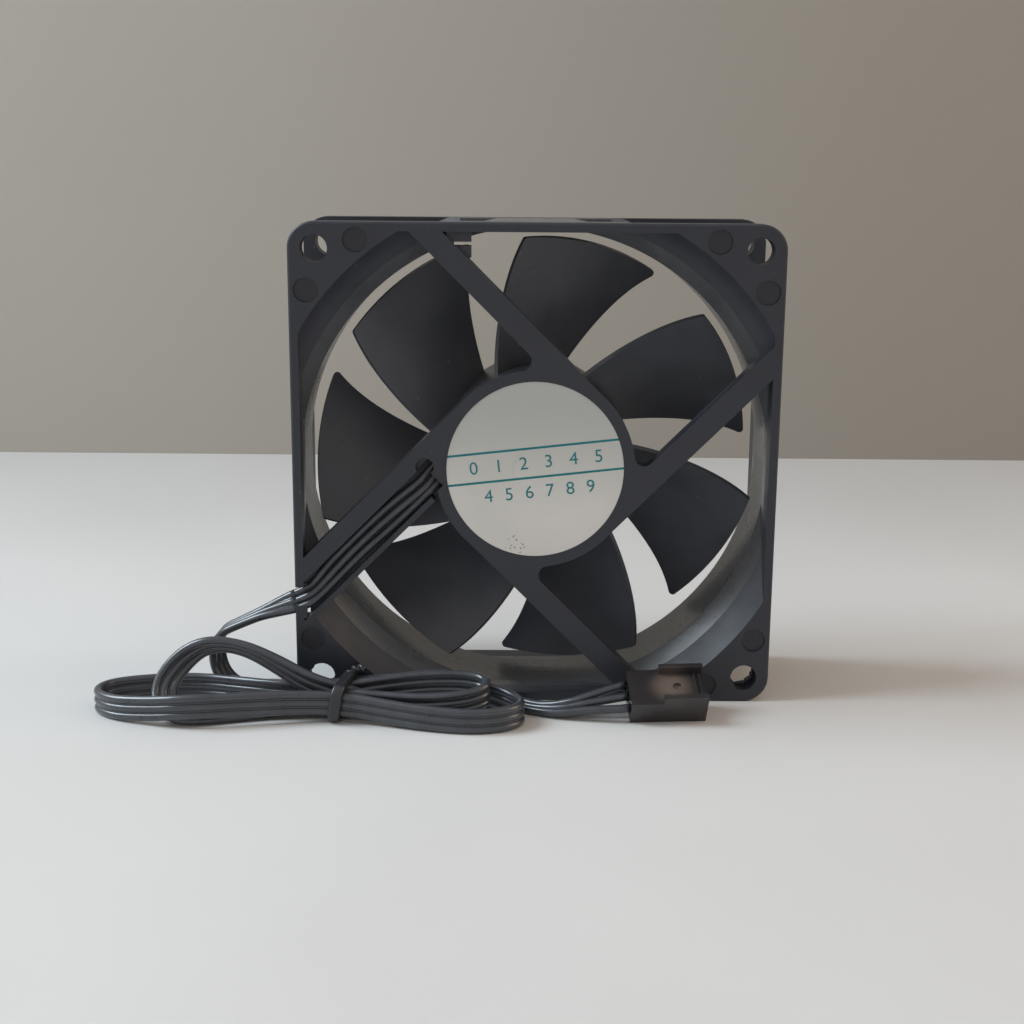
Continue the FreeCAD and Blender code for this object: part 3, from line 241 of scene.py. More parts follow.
def stippled(
    name, colour, rough, metal=0.0, mottle=0.12, patch=0.004, grain=0.00018, bump=0.12, coat=0.0, specks=0.0
):
    """A finish with soft colour mottling, an uneven gloss, a fine grain and, if asked, dust specks."""
    finish = bpy.data.materials.new(name)
    finish.use_nodes = True
    nodes, links = finish.node_tree.nodes, finish.node_tree.links
    shader = nodes["Principled BSDF"]
    shader.inputs["Metallic"].default_value = metal
    shader.inputs["Coat Weight"].default_value = coat
    shader.inputs["Coat Roughness"].default_value = 0.2
    place = nodes.new("ShaderNodeTexCoord")
    cloud = nodes.new("ShaderNodeTexNoise")
    cloud.inputs["Scale"].default_value = 1.0 / patch
    cloud.inputs["Detail"].default_value = 6.0
    links.new(place.outputs["Object"], cloud.inputs["Vector"])
    tones = nodes.new("ShaderNodeValToRGB")
    tones.color_ramp.elements[0].position = 0.3
    tones.color_ramp.elements[1].position = 0.7
    tones.color_ramp.elements[0].color = (*[part * (1 - mottle) for part in colour], 1.0)
    tones.color_ramp.elements[1].color = (*[part * (1 + mottle) for part in colour], 1.0)
    links.new(cloud.outputs["Fac"], tones.inputs["Fac"])
    surface = tones.outputs["Color"]
    if specks:
        dust = nodes.new("ShaderNodeTexVoronoi")
        dust.inputs["Scale"].default_value = DUST_SCALE
        links.new(place.outputs["Object"], dust.inputs["Vector"])
        rare = nodes.new("ShaderNodeMapRange")
        rare.inputs["From Min"].default_value = DUST_CORE
        rare.inputs["From Max"].default_value = DUST_EDGE
        rare.inputs["To Min"].default_value = specks
        rare.inputs["To Max"].default_value = 0.0
        links.new(dust.outputs["Distance"], rare.inputs["Value"])
        here = nodes.new("ShaderNodeMath")
        here.operation = "GREATER_THAN"
        here.inputs[1].default_value = DUST_RARITY
        apart = nodes.new("ShaderNodeSeparateColor")
        links.new(dust.outputs["Color"], apart.inputs["Color"])
        links.new(apart.outputs["Red"], here.inputs[0])
        amount = nodes.new("ShaderNodeMath")
        amount.operation = "MULTIPLY"
        links.new(rare.outputs["Result"], amount.inputs[0])
        links.new(here.outputs["Value"], amount.inputs[1])
        dusty = nodes.new("ShaderNodeMix")
        dusty.data_type = "RGBA"
        dusty.inputs["B"].default_value = DUST_TONE
        links.new(amount.outputs["Value"], dusty.inputs["Factor"])
        links.new(surface, dusty.inputs["A"])
        surface = dusty.outputs["Result"]
    links.new(surface, shader.inputs["Base Color"])
    gloss = nodes.new("ShaderNodeMapRange")
    gloss.inputs["From Min"].default_value = 0.3
    gloss.inputs["From Max"].default_value = 0.7
    gloss.inputs["To Min"].default_value = rough * 0.86
    gloss.inputs["To Max"].default_value = min(1.0, rough * 1.14)
    links.new(cloud.outputs["Fac"], gloss.inputs["Value"])
    links.new(gloss.outputs["Result"], shader.inputs["Roughness"])
    fine = nodes.new("ShaderNodeTexNoise")
    fine.inputs["Scale"].default_value = 1.0 / grain
    fine.inputs["Detail"].default_value = 3.0
    links.new(place.outputs["Object"], fine.inputs["Vector"])
    relief = nodes.new("ShaderNodeBump")
    relief.inputs["Strength"].default_value = bump
    relief.inputs["Distance"].default_value = grain * 0.5
    links.new(fine.outputs["Fac"], relief.inputs["Height"])
    links.new(relief.outputs["Normal"], shader.inputs["Normal"])
    return finish


lead_finish = stippled(
    "lead_insulation", (0.036, 0.04, 0.05), 0.3, mottle=0.2, patch=0.003, bump=0.08, coat=0.5
)

ribbon_corners = [Vector(place) * 0.001 for place, width in RIBBON_ROUTE]
ribbon_widths = [Vector(width).normalized() * 0.001 for place, width in RIBBON_ROUTE]
ribbon_line = line_points("ribbon_line", ribbon_corners)
width_corners = [corner + width for corner, width in zip(ribbon_corners, ribbon_widths)]
width_line = line_points("width_line", width_corners)
ribbon_along = along_lengths(ribbon_line)
ribbon_end = ribbon_along[-1]
ribbon_across = []
ribbon_over = []
wire_offsets = []
for centre, edge, heading, along in zip(ribbon_line, width_line, headings(ribbon_line), ribbon_along):
    across = edge - centre
    across = (across - heading * across.dot(heading)).normalized()
    ribbon_across.append(across)
    ribbon_over.append(heading.cross(across))
    split = max(0.0, 1.0 - (ribbon_end - along) / FAN_OUT)
    wire_offsets.append(WIRE_PITCH + (CONTACT_PITCH - WIRE_PITCH) * split * split * (3 - 2 * split))

ribbon_form = bmesh.new()
for wire in (-1, 0, 1):
    centres = [
        centre + across * offset * wire
        for centre, across, offset in zip(ribbon_line, ribbon_across, wire_offsets)
    ]
    outlines = [
        round_outline(centre, across, over, WIRE_RADIUS)
        for centre, across, over in zip(centres, ribbon_across, ribbon_over)
    ]
    sweep(ribbon_form, centres, outlines)
bonded = [place for place, along in enumerate(ribbon_along) if along < ribbon_end - FAN_OUT]
for side in (-0.5, 0.5):
    centres = [ribbon_line[place] + ribbon_across[place] * WIRE_PITCH * side for place in bonded]
    outlines = []
    for centre, place in zip(centres, bonded):
        half_width = ribbon_across[place] * WIRE_PITCH * WEB_SHARE
        half_thick = ribbon_over[place] * WEB_HALF
        outlines.append(
            [
                centre - half_width - half_thick,
                centre + half_width - half_thick,
                centre + half_width + half_thick,
                centre - half_width + half_thick,
            ]
        )
    sweep(ribbon_form, centres, outlines)
ribbon = new_piece("ribbon_lead", ribbon_form, "housing", lead_finish)
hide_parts("lead_drop", "lead_hank", "lead_tail")

# ---------------------------------------------------------------- leads in the channel
# The same three wires, split apart. Each comes from the circuit board through the slot beside the
# motor base and lies in the strut's channel as far as the notch, where the ribbon begins.

SLOT_HEIGHT = 9.62
CHANNEL_HEIGHT = 10.75
LEAD_RADIUS = 0.00066
LEAD_LEVEL, LEAD_LAP = 0.0012, 0.0002
# Places along the strut and off its axis, in millimetres, for the upper, middle and lower lead.
CHANNEL_ROUTES = {
    "lead_upper": (
        "lead_1",
        1,
        (
            (5.0, 11.7), (9.0, 12.3), (12.4, 12.0), (15.6, 11.9),
            (19.4, 12.4), (24.0, 12.75), (31.0, 12.75), (36.2, 12.7),
        ),
        ((-37.2, 19.8),),
    ),
    "lead_middle": (
        "lead_2",
        0,
        (
            (5.8, 10.2), (9.0, 10.85), (12.4, 10.6), (15.6, 10.4),
            (20.0, 10.9), (26.0, 11.3), (32.0, 11.35), (35.8, 11.2),
        ),
        ((-36.7, 18.6),),
    ),
    "lead_lower": (
        "lead_3",
        -1,
        (
            (6.6, 8.75), (9.2, 9.4), (12.4, 9.45), (15.6, 9.42),
            (20.0, 9.45), (25.0, 9.6), (30.0, 9.95), (35.0, 9.85),
        ),
        ((-36.4, 17.3),),
    ),
}
for name, (node, wire, channel, notch) in CHANNEL_ROUTES.items():
    corners = []
    for step, (along, offset) in enumerate(channel):
        height = SLOT_HEIGHT if step < 3 else CHANNEL_HEIGHT
        sideways, upward = -(offset + along) / math.sqrt(2), (offset - along) / math.sqrt(2)
        corners.append((sideways, -height, 40 + upward))
    for across, up in notch:
        corners.append((across, -CHANNEL_HEIGHT, up))
    corners = [Vector(corner) * 0.001 for corner in corners]
    start = ribbon_line[0] + ribbon_across[0] * WIRE_PITCH * wire
    corners.append(start - headings(ribbon_line)[0] * LEAD_LEVEL)
    corners.append(start + headings(ribbon_line)[0] * LEAD_LAP)
    centres = line_points(name, corners, steps=12)
    over = Vector((0.0, -1.0, 0.0))
    outlines = []
    for centre, heading in zip(centres, headings(centres)):
        over = (over - heading * over.dot(heading)).normalized()
        outlines.append(round_outline(centre, heading.cross(over), over, LEAD_RADIUS))
    lead_form = bmesh.new()
    sweep(lead_form, centres, outlines)
    lead = new_piece(name, lead_form, "housing", lead_finish)
    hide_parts(node)

# ---------------------------------------------------------------- wire tie
# A flat strip of black coated wire, wrapped once round the five strands of the hank and twisted
# together behind them, with its cut ends left standing.

TIE_MIDDLE = (-0.0315, -0.0200, 0.00335)
TIE_SIZE = (0.0020, 0.0102, 0.0066)
TIE_LEAN = 0.0011
TIE_THICKNESS = 0.00095
TIE_CORNER, TIE_EDGE = 0.0022, 0.00042

tie_finish = stippled("tie_coating", (0.02, 0.021, 0.024), 0.32, mottle=0.15, patch=0.002, coat=0.15)
bpy.ops.mesh.primitive_cube_add(size=1.0, location=TIE_MIDDLE)
tie = bpy.context.object
tie.name = "wire_tie"
tie.dimensions = TIE_SIZE
bpy.ops.object.transform_apply(location=True, rotation=True, scale=True)
bpy.ops.object.mode_set(mode="EDIT")
bpy.ops.mesh.select_all(action="DESELECT")
tie_form = bmesh.from_edit_mesh(tie.data)
for face in tie_form.faces:
    face.select_set(abs(face.normal.x) > 0.9)
bmesh.update_edit_mesh(tie.data)
bpy.ops.mesh.delete(type="FACE")
tie_form = bmesh.from_edit_mesh(tie.data)
for edge in tie_form.edges:
    edge.select_set(abs((edge.verts[0].co - edge.verts[1].co).x) > 0.001)
bmesh.update_edit_mesh(tie.data)
bpy.ops.mesh.bevel(offset=TIE_CORNER, segments=9, profile=0.5)
bpy.ops.mesh.select_all(action="SELECT")
bpy.ops.mesh.normals_make_consistent(inside=False)
bpy.ops.object.mode_set(mode="OBJECT")
for vertex in tie.data.vertices:
    rise = (vertex.co.z - TIE_MIDDLE[2]) / (TIE_SIZE[2] / 2)
    back = (vertex.co.y - TIE_MIDDLE[1]) / (TIE_SIZE[1] / 2)
    vertex.co.x += TIE_LEAN * (0.45 * rise + 0.75 * back)
wall = tie.modifiers.new("strip", "SOLIDIFY")
wall.thickness = TIE_THICKNESS
wall.offset = -1.0
soft = tie.modifiers.new("edges", "BEVEL")
soft.width = TIE_EDGE
soft.segments = 5
soft.limit_method = "ANGLE"
bpy.ops.object.modifier_apply(modifier="strip")
bpy.ops.object.modifier_apply(modifier="edges")
bpy.ops.object.shade_smooth_by_angle(angle=math.radians(35))
tie.location = (0, 0, 0)
tie.data.materials.append(tie_finish)
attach(tie, "housing")
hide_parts("hank_tie")
bpy.ops.object.select_all(action="DESELECT")

TWIST_ROUTE = (
    (-31.0, -16.6, 5.6), (-30.4, -16.5, 6.4), (-29.6, -16.8, 7.0), (-28.7, -17.1, 7.3), (-28.0, -17.3, 7.0)
)
TWIST_RADIUS = 0.00046
TWIST_RATE = 2600.0
TWIST_SWING, TWIST_TAPER = 0.8, 0.25
twist_line = line_points("twist_line", [Vector(corner) * 0.001 for corner in TWIST_ROUTE], steps=16)
twist_form = bmesh.new()
for half in (0.0, math.pi):
    over = Vector((0.0, -1.0, 0.0))
    centres = []
    outlines = []
    lengths = along_lengths(twist_line)
    for centre, heading, along in zip(twist_line, headings(twist_line), lengths):
        over = (over - heading * over.dot(heading)).normalized()
        across = heading.cross(over)
        phase = half + along * TWIST_RATE
        taper = 1.0 - TWIST_TAPER * along / lengths[-1]
        swing = (over * math.cos(phase) + across * math.sin(phase)) * TWIST_RADIUS * TWIST_SWING * taper
        middle = centre + swing
        centres.append(middle)
        outlines.append(round_outline(middle, across, over, TWIST_RADIUS * taper))
    sweep(twist_form, centres, outlines)
twist = new_piece("wire_tie_twist", twist_form, "housing", tie_finish)

# ---------------------------------------------------------------- connector
# A moulded nylon housing, black-brown and slightly see-through, with a rail along each long side,
# a latch bed with a dimple, and three crimped contacts pushed in from behind.

# A lighter brown is painted round the dimple of the latch bed. It is a painted glow for light that shines
# through the thin nylon and reflects off its top.
BED_MIDDLE = (0.0226, -0.0209, 0.0056)
BED_GLOW_TONE = (0.15, 0.112, 0.093)
BED_NEAR, BED_FAR = 0.0008, 0.0046

connector_finish = stippled(
    "connector_nylon", (0.022, 0.019, 0.02), 0.3, mottle=0.06, patch=0.003, bump=0.05, coat=0.3
)


def distance_from(finish, place, middle):
    """How far the places on a finish are from one point."""
    reach = finish.node_tree.nodes.new("ShaderNodeVectorMath")
    reach.operation = "DISTANCE"
    reach.inputs[1].default_value = middle
    finish.node_tree.links.new(place, reach.inputs[0])
    return reach.outputs["Value"]


def soft_step(finish, value, start, end, first, last):
    """A smooth change from the first amount to the last, while a value runs from start to end."""
    step = finish.node_tree.nodes.new("ShaderNodeMapRange")
    step.interpolation_type = "SMOOTHSTEP"
    step.inputs["From Min"].default_value = start
    step.inputs["From Max"].default_value = end
    step.inputs["To Min"].default_value = first
    step.inputs["To Max"].default_value = last
    finish.node_tree.links.new(value, step.inputs["Value"])
    return step.outputs["Result"]


def tint(finish, amount, tone):
    """Lays a tone over the colour of a finish, as thick as the amount."""
    shader = finish.node_tree.nodes["Principled BSDF"]
    mixed = finish.node_tree.nodes.new("ShaderNodeMix")
    mixed.data_type = "RGBA"
    mixed.inputs["B"].default_value = (*tone, 1.0)
    links = finish.node_tree.links
    links.new(amount, mixed.inputs["Factor"])
    links.new(shader.inputs["Base Color"].links[0].from_socket, mixed.inputs["A"])
    links.new(mixed.outputs["Result"], shader.inputs["Base Color"])


# Painted glow: the lighter brown fades out with distance from the dimple.
bed_place = connector_finish.node_tree.nodes.new("ShaderNodeTexCoord").outputs["Object"]
bed_reach = distance_from(connector_finish, bed_place, BED_MIDDLE)
bed_glow_amount = soft_step(connector_finish, bed_reach, BED_NEAR, BED_FAR, 0.85, 0.0)
tint(connector_finish, bed_glow_amount, BED_GLOW_TONE)
contact_finish = stippled("contact_metal", (0.55, 0.46, 0.27), 0.3, metal=1.0, mottle=0.1, patch=0.002)


def dress(finish, *names):
    """Gives CAD nodes their finish."""
    for name in names:
        node = parts[name]
        node.data.materials.clear()
        node.data.materials.append(finish)


dress(connector_finish, "connector_housing")
dress(contact_finish, "connector_contacts")

# ---------------------------------------------------------------- frame
# One glass-filled moulding in matte charcoal: duct, two flanges with screw holes, four leaning
# struts and the motor base. It has a fine grain and a little cloudiness, and the two lower screw
# holes keep a ragged skin of flash. The flare and the bore are painted lighter, as painted sheen.

MARK_FAR, MARK_NEAR = 0.03715, 0.02915
MARK_RADIUS = 0.0019
MARK_DEPTH = 0.0122
MARK_TONE = (0.006, 0.006, 0.007)

FRAME_TONE = (0.019, 0.021, 0.03)
# The tone of the painted sheen on the flare and the surfaces behind the front face.
FLARE_SHEEN_TONE = (0.046, 0.049, 0.06)
FLASH_HOLES = (("lower_right", 35.75, 4.25, -50, 0.85), ("lower_left", -35.75, 4.25, 90, 0.6))
FLASH_RADIUS = 2.23
FLASH_LAYERS = (-9.9, -9.75)
FLASH_STEPS = 72
FLASH_RIM, FLASH_LEAST = 0.14, 0.06
# How many waves go round the flash, where they start and how high they are.
FLASH_WAVES = ((7, 1, 0.09), (13, 2, 0.06), (24, 0, 0.05))


def fade(finish, axis, start, end, share, tone):
    """Mixes a tone into a finish along an axis, from none at the start to the share at the end."""
    place = finish.node_tree.nodes.new("ShaderNodeTexCoord")
    apart = finish.node_tree.nodes.new("ShaderNodeSeparateXYZ")
    finish.node_tree.links.new(place.outputs["Object"], apart.inputs["Vector"])
    tint(finish, soft_step(finish, apart.outputs[axis], start, end, 0.0, share), tone)


frame_finish = stippled(
    "frame_moulding", FRAME_TONE, 0.46, mottle=0.12, patch=0.006, grain=0.00022, bump=0.2, specks=0.12
)
far_finish = stippled(
    "frame_far_flange", FRAME_TONE, 0.46, mottle=0.12, patch=0.006, grain=0.00022, bump=0.2, specks=0.12
)
# Painted sheen: from the front face inwards the moulding is painted lighter. The intake flange wears a copy
# of the finish without it.
fade(frame_finish, "Y", -0.0123, -0.0095, 1.0, FLARE_SHEEN_TONE)
mark_nodes, mark_links = frame_finish.node_tree.nodes, frame_finish.node_tree.links
mark_place = mark_nodes.new("ShaderNodeTexCoord")
mark_shift = mark_nodes.new("ShaderNodeVectorMath")
mark_shift.operation = "SUBTRACT"
mark_shift.inputs[1].default_value = (0.0, 0.0, 0.04)
mark_links.new(mark_place.outputs["Object"], mark_shift.inputs[0])
mark_fold = mark_nodes.new("ShaderNodeVectorMath")
mark_fold.operation = "ABSOLUTE"
mark_links.new(mark_shift.outputs["Vector"], mark_fold.inputs[0])
for across, up in ((MARK_FAR, MARK_NEAR), (MARK_NEAR, MARK_FAR)):
    mark_reach = distance_from(frame_finish, mark_fold.outputs["Vector"], (across, MARK_DEPTH, up))
    mark_amount = soft_step(frame_finish, mark_reach, MARK_RADIUS * 0.5, MARK_RADIUS * 1.25, 0.42, 0.0)
    tint(frame_finish, mark_amount, MARK_TONE)
# The bore is painted much lighter than the rest of the moulding. This is a painted sheen for the light its
# smoother surface reflects.
bore_sheen_finish = stippled(
    "frame_bore_painted_sheen", (0.082, 0.085, 0.092), 0.28, mottle=0.14, patch=0.009, grain=0.0003, bump=0.12, specks=0.2
)
dress(frame_finish, "frame_motor_mount", "frame_strut_flange")
dress(far_finish, "frame_intake_flange")
dress(bore_sheen_finish, "frame_duct")

for corner, across, up, lean, reach in FLASH_HOLES:
    flash_form = bmesh.new()
    rings = []
    for layer in FLASH_LAYERS:
        outer, inner = [], []
        for step in range(FLASH_STEPS):
            turn = step * math.tau / FLASH_STEPS
            width = FLASH_RIM + reach * max(0.0, math.cos(turn - math.radians(lean)))
            width += sum(size * math.sin(waves * turn + shift) for waves, shift, size in FLASH_WAVES)
            for ring, radius in ((outer, FLASH_RADIUS), (inner, FLASH_RADIUS - max(FLASH_LEAST, width))):
                place = (across + radius * math.cos(turn), layer, up + radius * math.sin(turn))
                ring.append(flash_form.verts.new(Vector(place) * 0.001))
        rings.append((outer, inner))
    (front_outer, front_inner), (back_outer, back_inner) = rings
    loop = (front_outer, front_inner, back_inner, back_outer, front_outer)
    for step in range(FLASH_STEPS):
        after = (step + 1) % FLASH_STEPS
        for first, second in zip(loop, loop[1:]):
            flash_form.faces.new((first[step], first[after], second[after], second[step]))
    new_piece(f"hole_flash_{corner}", flash_form, "housing", frame_finish)

# ---------------------------------------------------------------- impeller
# Seven curved blades on a cup-shaped hub, moulded in one piece in black. The blades are satin,
# with a little dust on them.

IMPELLER_TONE = (0.07, 0.074, 0.088)

impeller_finish = stippled(
    "impeller_moulding", IMPELLER_TONE, 0.38, mottle=0.14, patch=0.008, grain=0.00025, bump=0.12, specks=0.3
)
dress(impeller_finish, "impeller")

# ---------------------------------------------------------------- rotor
# A drawn steel cup is pressed into the hub, with a bonded ferrite ring inside it. The ground shaft
# sits in a turned brass insert and ends in a groove with a split nylon washer.

yoke_finish = stippled("yoke_steel", (0.42, 0.42, 0.42), 0.36, metal=1.0, mottle=0.08, patch=0.003)
magnet_finish = stippled("bonded_ferrite", (0.045, 0.043, 0.042), 0.62, mottle=0.2, patch=0.0012)
brass_finish = stippled("turned_brass", (0.62, 0.47, 0.22), 0.28, metal=1.0, mottle=0.06)
shaft_finish = stippled("ground_steel", (0.6, 0.6, 0.6), 0.18, metal=1.0, mottle=0.05)
nylon_finish = stippled("natural_nylon", (0.68, 0.66, 0.6), 0.45, mottle=0.06)
dress(yoke_finish, "rotor_yoke")
dress(magnet_finish, "ring_magnet")
dress(brass_finish, "shaft_insert")
dress(shaft_finish, "shaft")
dress(nylon_finish, "retaining_washer", "thrust_washer")

# ---------------------------------------------------------------- bearing
# A sintered bronze sleeve in the frame's tube, with a rubber oil seal below it and a plastic cap
# under the label.

bronze_finish = stippled(
    "sintered_bronze", (0.42, 0.29, 0.15), 0.5, metal=1.0, mottle=0.18, patch=0.0006
)
seal_finish = stippled("seal_rubber", (0.02, 0.02, 0.02), 0.7)
cap_finish = stippled("cap_plastic", (0.03, 0.03, 0.03), 0.5)
dress(bronze_finish, "bearing_sleeve")
dress(seal_finish, "oil_seal_ring")
dress(cap_finish, "bearing_cap")

# ---------------------------------------------------------------- stator and board
# Laminated steel with four wound arms between two black insulators, on a round green board with
# its driver chip, a resistor and a capacitor.

core_finish = stippled("core_laminations", (0.3, 0.31, 0.32), 0.4, metal=1.0, mottle=0.15, patch=0.001)
insulator_finish = stippled("insulator_plastic", (0.03, 0.03, 0.034), 0.45)
copper_finish = stippled(
    "enamelled_copper", (0.5, 0.2, 0.08), 0.32, metal=1.0, mottle=0.25, patch=0.0004, grain=0.0001, bump=0.5
)
board_finish = stippled("board_laminate", (0.03, 0.12, 0.05), 0.4, mottle=0.2, patch=0.002, coat=0.3)
chip_finish = stippled("chip_epoxy", (0.02, 0.02, 0.022), 0.55, mottle=0.1)
ceramic_finish = stippled("capacitor_ceramic", (0.42, 0.32, 0.2), 0.5, mottle=0.1)
dress(core_finish, "stator_core")
dress(insulator_finish, "insulator_lead_side", "insulator_intake_side")
dress(copper_finish, "winding_1", "winding_2", "winding_3", "winding_4")
dress(board_finish, "circuit_board")
dress(chip_finish, "driver_chip", "board_resistor")
dress(ceramic_finish, "board_capacitor")
dress(brass_finish, "winding_pins")

# ---------------------------------------------------------------- label
# A disc of silver-white foil in a shallow seat on the motor base, stained at its lower edge. The
# shaft's boss shows through it as a faint ring; two thin teal rules and two rows of digits cross it.
# Its upper part is painted darker than the lower, as painted shade.

LABEL_FOIL = (0.64, 0.62, 0.59)
# The tone of the painted shade on the upper part of the foil.
LABEL_UPPER_SHADE = (0.43, 0.44, 0.42)
LABEL_TEAL = (0.0, 0.16, 0.18)
RULE_TILT = math.radians(6.3)
RULE_HEIGHTS = (0.00367, -0.00122)
RULE_HALF = 0.00019
BOSS_RADIUS = 0.0036
BOSS_DENT = 0.00012
STAIN_MIDDLE = (-0.0042, 0.0, -0.0122)
STAIN_RADIUS = 0.0028
STAIN_TONE = (0.12, 0.1, 0.08)
STAIN_SCALE = 1500.0
STAIN_SPOT = 0.26

label_finish = stippled(
    "label_foil", LABEL_FOIL, 0.4, metal=0.3, mottle=0.05, patch=0.01, grain=0.0003, bump=0.05
)
# Painted shade: the foil darkens towards its top.
fade(label_finish, "Z", 0.03, 0.052, 1.0, LABEL_UPPER_SHADE)
foil_nodes, foil_links = label_finish.node_tree.nodes, label_finish.node_tree.links
foil_place = foil_nodes.new("ShaderNodeTexCoord")
foil_turn = foil_nodes.new("ShaderNodeMapping")
foil_turn.vector_type = "TEXTURE"
foil_turn.inputs["Location"].default_value = (0.0, 0.0, 0.04)
foil_turn.inputs["Rotation"].default_value = (0.0, -RULE_TILT, 0.0)
foil_links.new(foil_place.outputs["Object"], foil_turn.inputs["Vector"])
foil_flat = foil_nodes.new("ShaderNodeVectorMath")
foil_flat.operation = "MULTIPLY"
foil_flat.inputs[1].default_value = (1.0, 0.0, 1.0)
foil_links.new(foil_turn.outputs["Vector"], foil_flat.inputs[0])

boss_reach = distance_from(label_finish, foil_flat.outputs["Vector"], (0.0, 0.0, 0.0))
boss_rise = soft_step(label_finish, boss_reach, BOSS_RADIUS * 0.9, BOSS_RADIUS * 1.1, 0.0, 1.0)
boss_relief = foil_nodes.new("ShaderNodeBump")
boss_relief.inputs["Strength"].default_value = 0.6
boss_relief.inputs["Distance"].default_value = BOSS_DENT
foil_normal = foil_nodes["Principled BSDF"].inputs["Normal"]
foil_links.new(boss_rise, boss_relief.inputs["Height"])
foil_links.new(foil_normal.links[0].from_socket, boss_relief.inputs["Normal"])
foil_links.new(boss_relief.outputs["Normal"], foil_normal)

stain_reach = distance_from(label_finish, foil_flat.outputs["Vector"], STAIN_MIDDLE)
stain_share = soft_step(label_finish, stain_reach, STAIN_RADIUS * 0.2, STAIN_RADIUS, 0.7, 0.0)
stain_dots = foil_nodes.new("ShaderNodeTexVoronoi")
stain_dots.inputs["Scale"].default_value = STAIN_SCALE
foil_links.new(foil_place.outputs["Object"], stain_dots.inputs["Vector"])
stain_spots = foil_nodes.new("ShaderNodeMath")
stain_spots.operation = "LESS_THAN"
stain_spots.inputs[1].default_value = STAIN_SPOT
foil_links.new(stain_dots.outputs["Distance"], stain_spots.inputs[0])
stain_amount = foil_nodes.new("ShaderNodeMath")
stain_amount.operation = "MULTIPLY"
foil_links.new(stain_share, stain_amount.inputs[0])
foil_links.new(stain_spots.outputs["Value"], stain_amount.inputs[1])
tint(label_finish, stain_amount.outputs["Value"], STAIN_TONE)

foil_parts = foil_nodes.new("ShaderNodeSeparateXYZ")
foil_links.new(foil_turn.outputs["Vector"], foil_parts.inputs["Vector"])
for rule_height in RULE_HEIGHTS:
    rule = foil_nodes.new("ShaderNodeMath")
    rule.operation = "COMPARE"
    rule.inputs[1].default_value = rule_height
    rule.inputs[2].default_value = RULE_HALF
    foil_links.new(foil_parts.outputs["Z"], rule.inputs[0])
    tint(label_finish, rule.outputs["Value"], LABEL_TEAL)
dress(label_finish, "motor_label")

PRINT_ROWS = (("0 1 2 3 4 5", 1.6, 0.25, 0.3), ("4 5 6 7 8 9", 1.35, 0.9, -4.55))
PRINT_HEIGHT = 0.0030
PRINT_THICKNESS = 0.00001
label_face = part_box("motor_label")[0][1]
print_finish = stippled("label_ink", LABEL_TEAL, 0.5, mottle=0.08)
for row, (digits, spread, shift, rise) in enumerate(PRINT_ROWS, start=1):
    bpy.ops.object.text_add(rotation=(math.radians(90), 0, 0))
    text = bpy.context.object
    text.data.body = digits
    text.data.size = PRINT_HEIGHT
    text.data.space_character = spread
    text.data.align_x = "CENTER"
    text.data.extrude = PRINT_THICKNESS
    bpy.ops.object.convert(target="MESH")
    text = bpy.context.object
    text.name = f"label_print_{row}"
    text.rotation_euler = Euler((math.radians(90), -RULE_TILT, 0))
    text.location = (shift * 0.001, label_face - PRINT_THICKNESS, 0.04 + rise * 0.001)
    bpy.ops.object.transform_apply(location=True, rotation=True, scale=True)
    text.data.materials.append(print_finish)
    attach(text, "housing")
    bpy.ops.object.select_all(action="DESELECT")

# ---------------------------------------------------------------- floor, wall and light
# A pale table top that ends at a plain grey wall, in soft light from the left and above. The table
# is painted darker towards the wall, and the wall darker towards the right, both as painted shade.

TABLE_SIZE = 3.0
TABLE_TONE, TABLE_WALL_SHADE_TONE = (0.6, 0.585, 0.575), (0.1, 0.09, 0.08)
WALL_LEFT, WALL_RIGHT = (-0.1, 0.2094), (0.1, 0.2074)
WALL_TONE, WALL_SHADED_TONE = (0.378, 0.35, 0.308), (0.285, 0.258, 0.226)
WALL_REACH = 6
WALL_HEIGHT = 0.9
ROOM_TONE = (1.0, 0.965, 0.92, 1.0)
ROOM_STRENGTH = 0.61

floor_finish = stippled(
    "table_top", TABLE_TONE, 0.55, mottle=0.02, patch=0.09, grain=0.001, bump=0.02
)
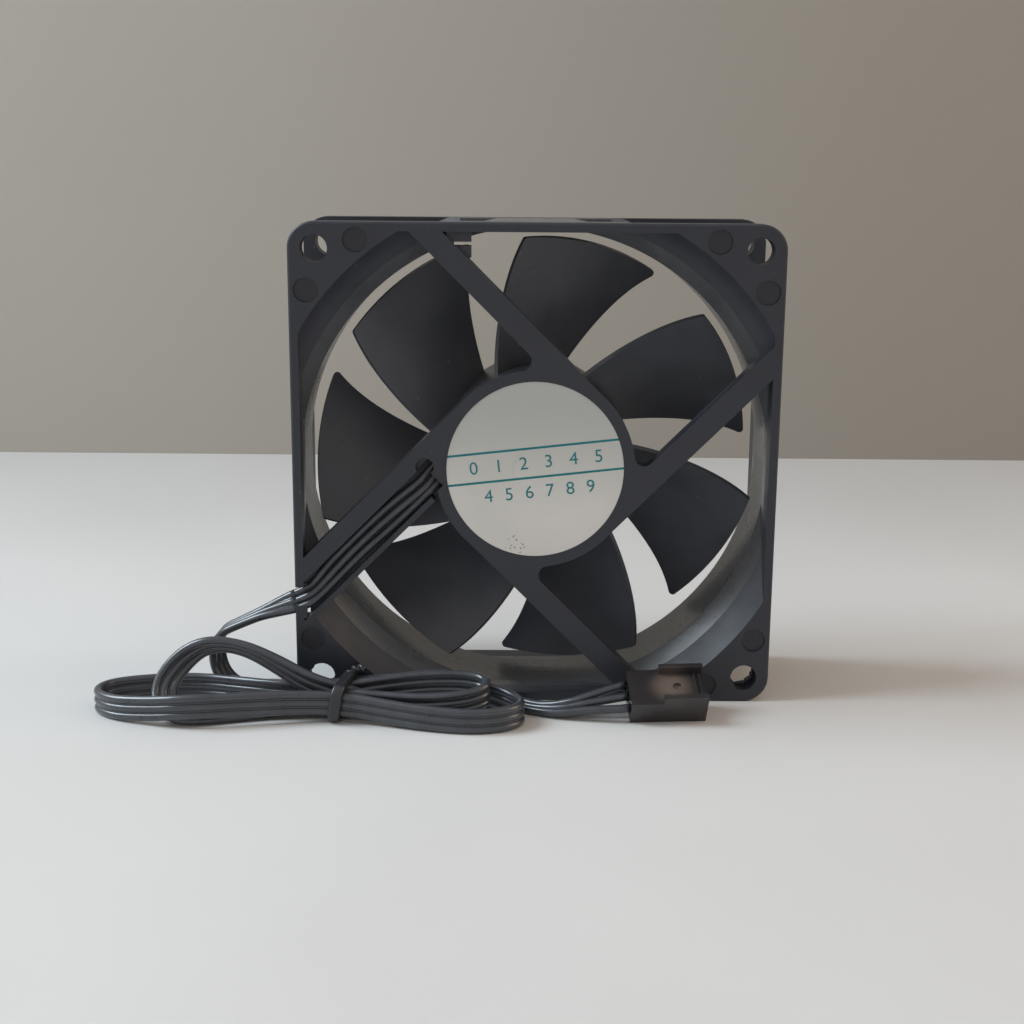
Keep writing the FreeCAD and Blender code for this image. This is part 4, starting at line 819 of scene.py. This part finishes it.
# Painted shade: the table darkens towards the wall.
fade(floor_finish, "Y", 0.0, 0.24, 0.3, TABLE_WALL_SHADE_TONE)
bpy.ops.mesh.primitive_plane_add(size=TABLE_SIZE, location=(0, 0, 0))
floor = bpy.context.object
floor.name = "table_top"
floor.data.materials.append(floor_finish)

wall_finish = stippled(
    "wall_paint", WALL_TONE, 0.75, mottle=0.02, patch=0.06, grain=0.0012, bump=0.03
)
fade(wall_finish, "X", -0.16, 0.18, 1.0, WALL_SHADED_TONE)
wall_form = bmesh.new()
wall_run = Vector(WALL_RIGHT) - Vector(WALL_LEFT)
wall_ends = (Vector(WALL_LEFT) - wall_run * WALL_REACH, Vector(WALL_RIGHT) + wall_run * WALL_REACH)
foot = [(*end, 0.0) for end in wall_ends]
top = [(*end, WALL_HEIGHT) for end in reversed(wall_ends)]
wall_form.faces.new([wall_form.verts.new(corner) for corner in foot + top])
wall_mesh = bpy.data.meshes.new("wall")
wall_form.to_mesh(wall_mesh)
wall_form.free()
wall_mesh.materials.append(wall_finish)
room_wall = bpy.data.objects.new("wall", wall_mesh)
bpy.context.scene.collection.objects.link(room_wall)


def lamp(name, place, towards, size, power, colour):
    """A round soft lamp at one place, turned towards another."""
    bpy.ops.object.light_add(type="AREA", location=place)
    light = bpy.context.object
    light.name = name
    light.data.shape = "DISK"
    light.data.size = size
    light.data.energy = power
    light.data.color = colour
    light.rotation_euler = (Vector(towards) - Vector(place)).to_track_quat("-Z", "Y").to_euler()


lamp("window_light", (-0.75, 0.0, 0.7), (0.0, 0.03, 0.02), 0.6, 11.5, (0.77, 0.9, 1.0))
lamp("room_light", (0.8, 0.02, 0.45), (0.0, 0.0, 0.02), 0.6, 2.4, (1.0, 0.72, 0.5))

world = bpy.data.worlds.new("room")
world.use_nodes = True
world.node_tree.nodes["Background"].inputs["Color"].default_value = ROOM_TONE
world.node_tree.nodes["Background"].inputs["Strength"].default_value = ROOM_STRENGTH
bpy.context.scene.world = world
bpy.context.scene.view_settings.view_transform = "Standard"
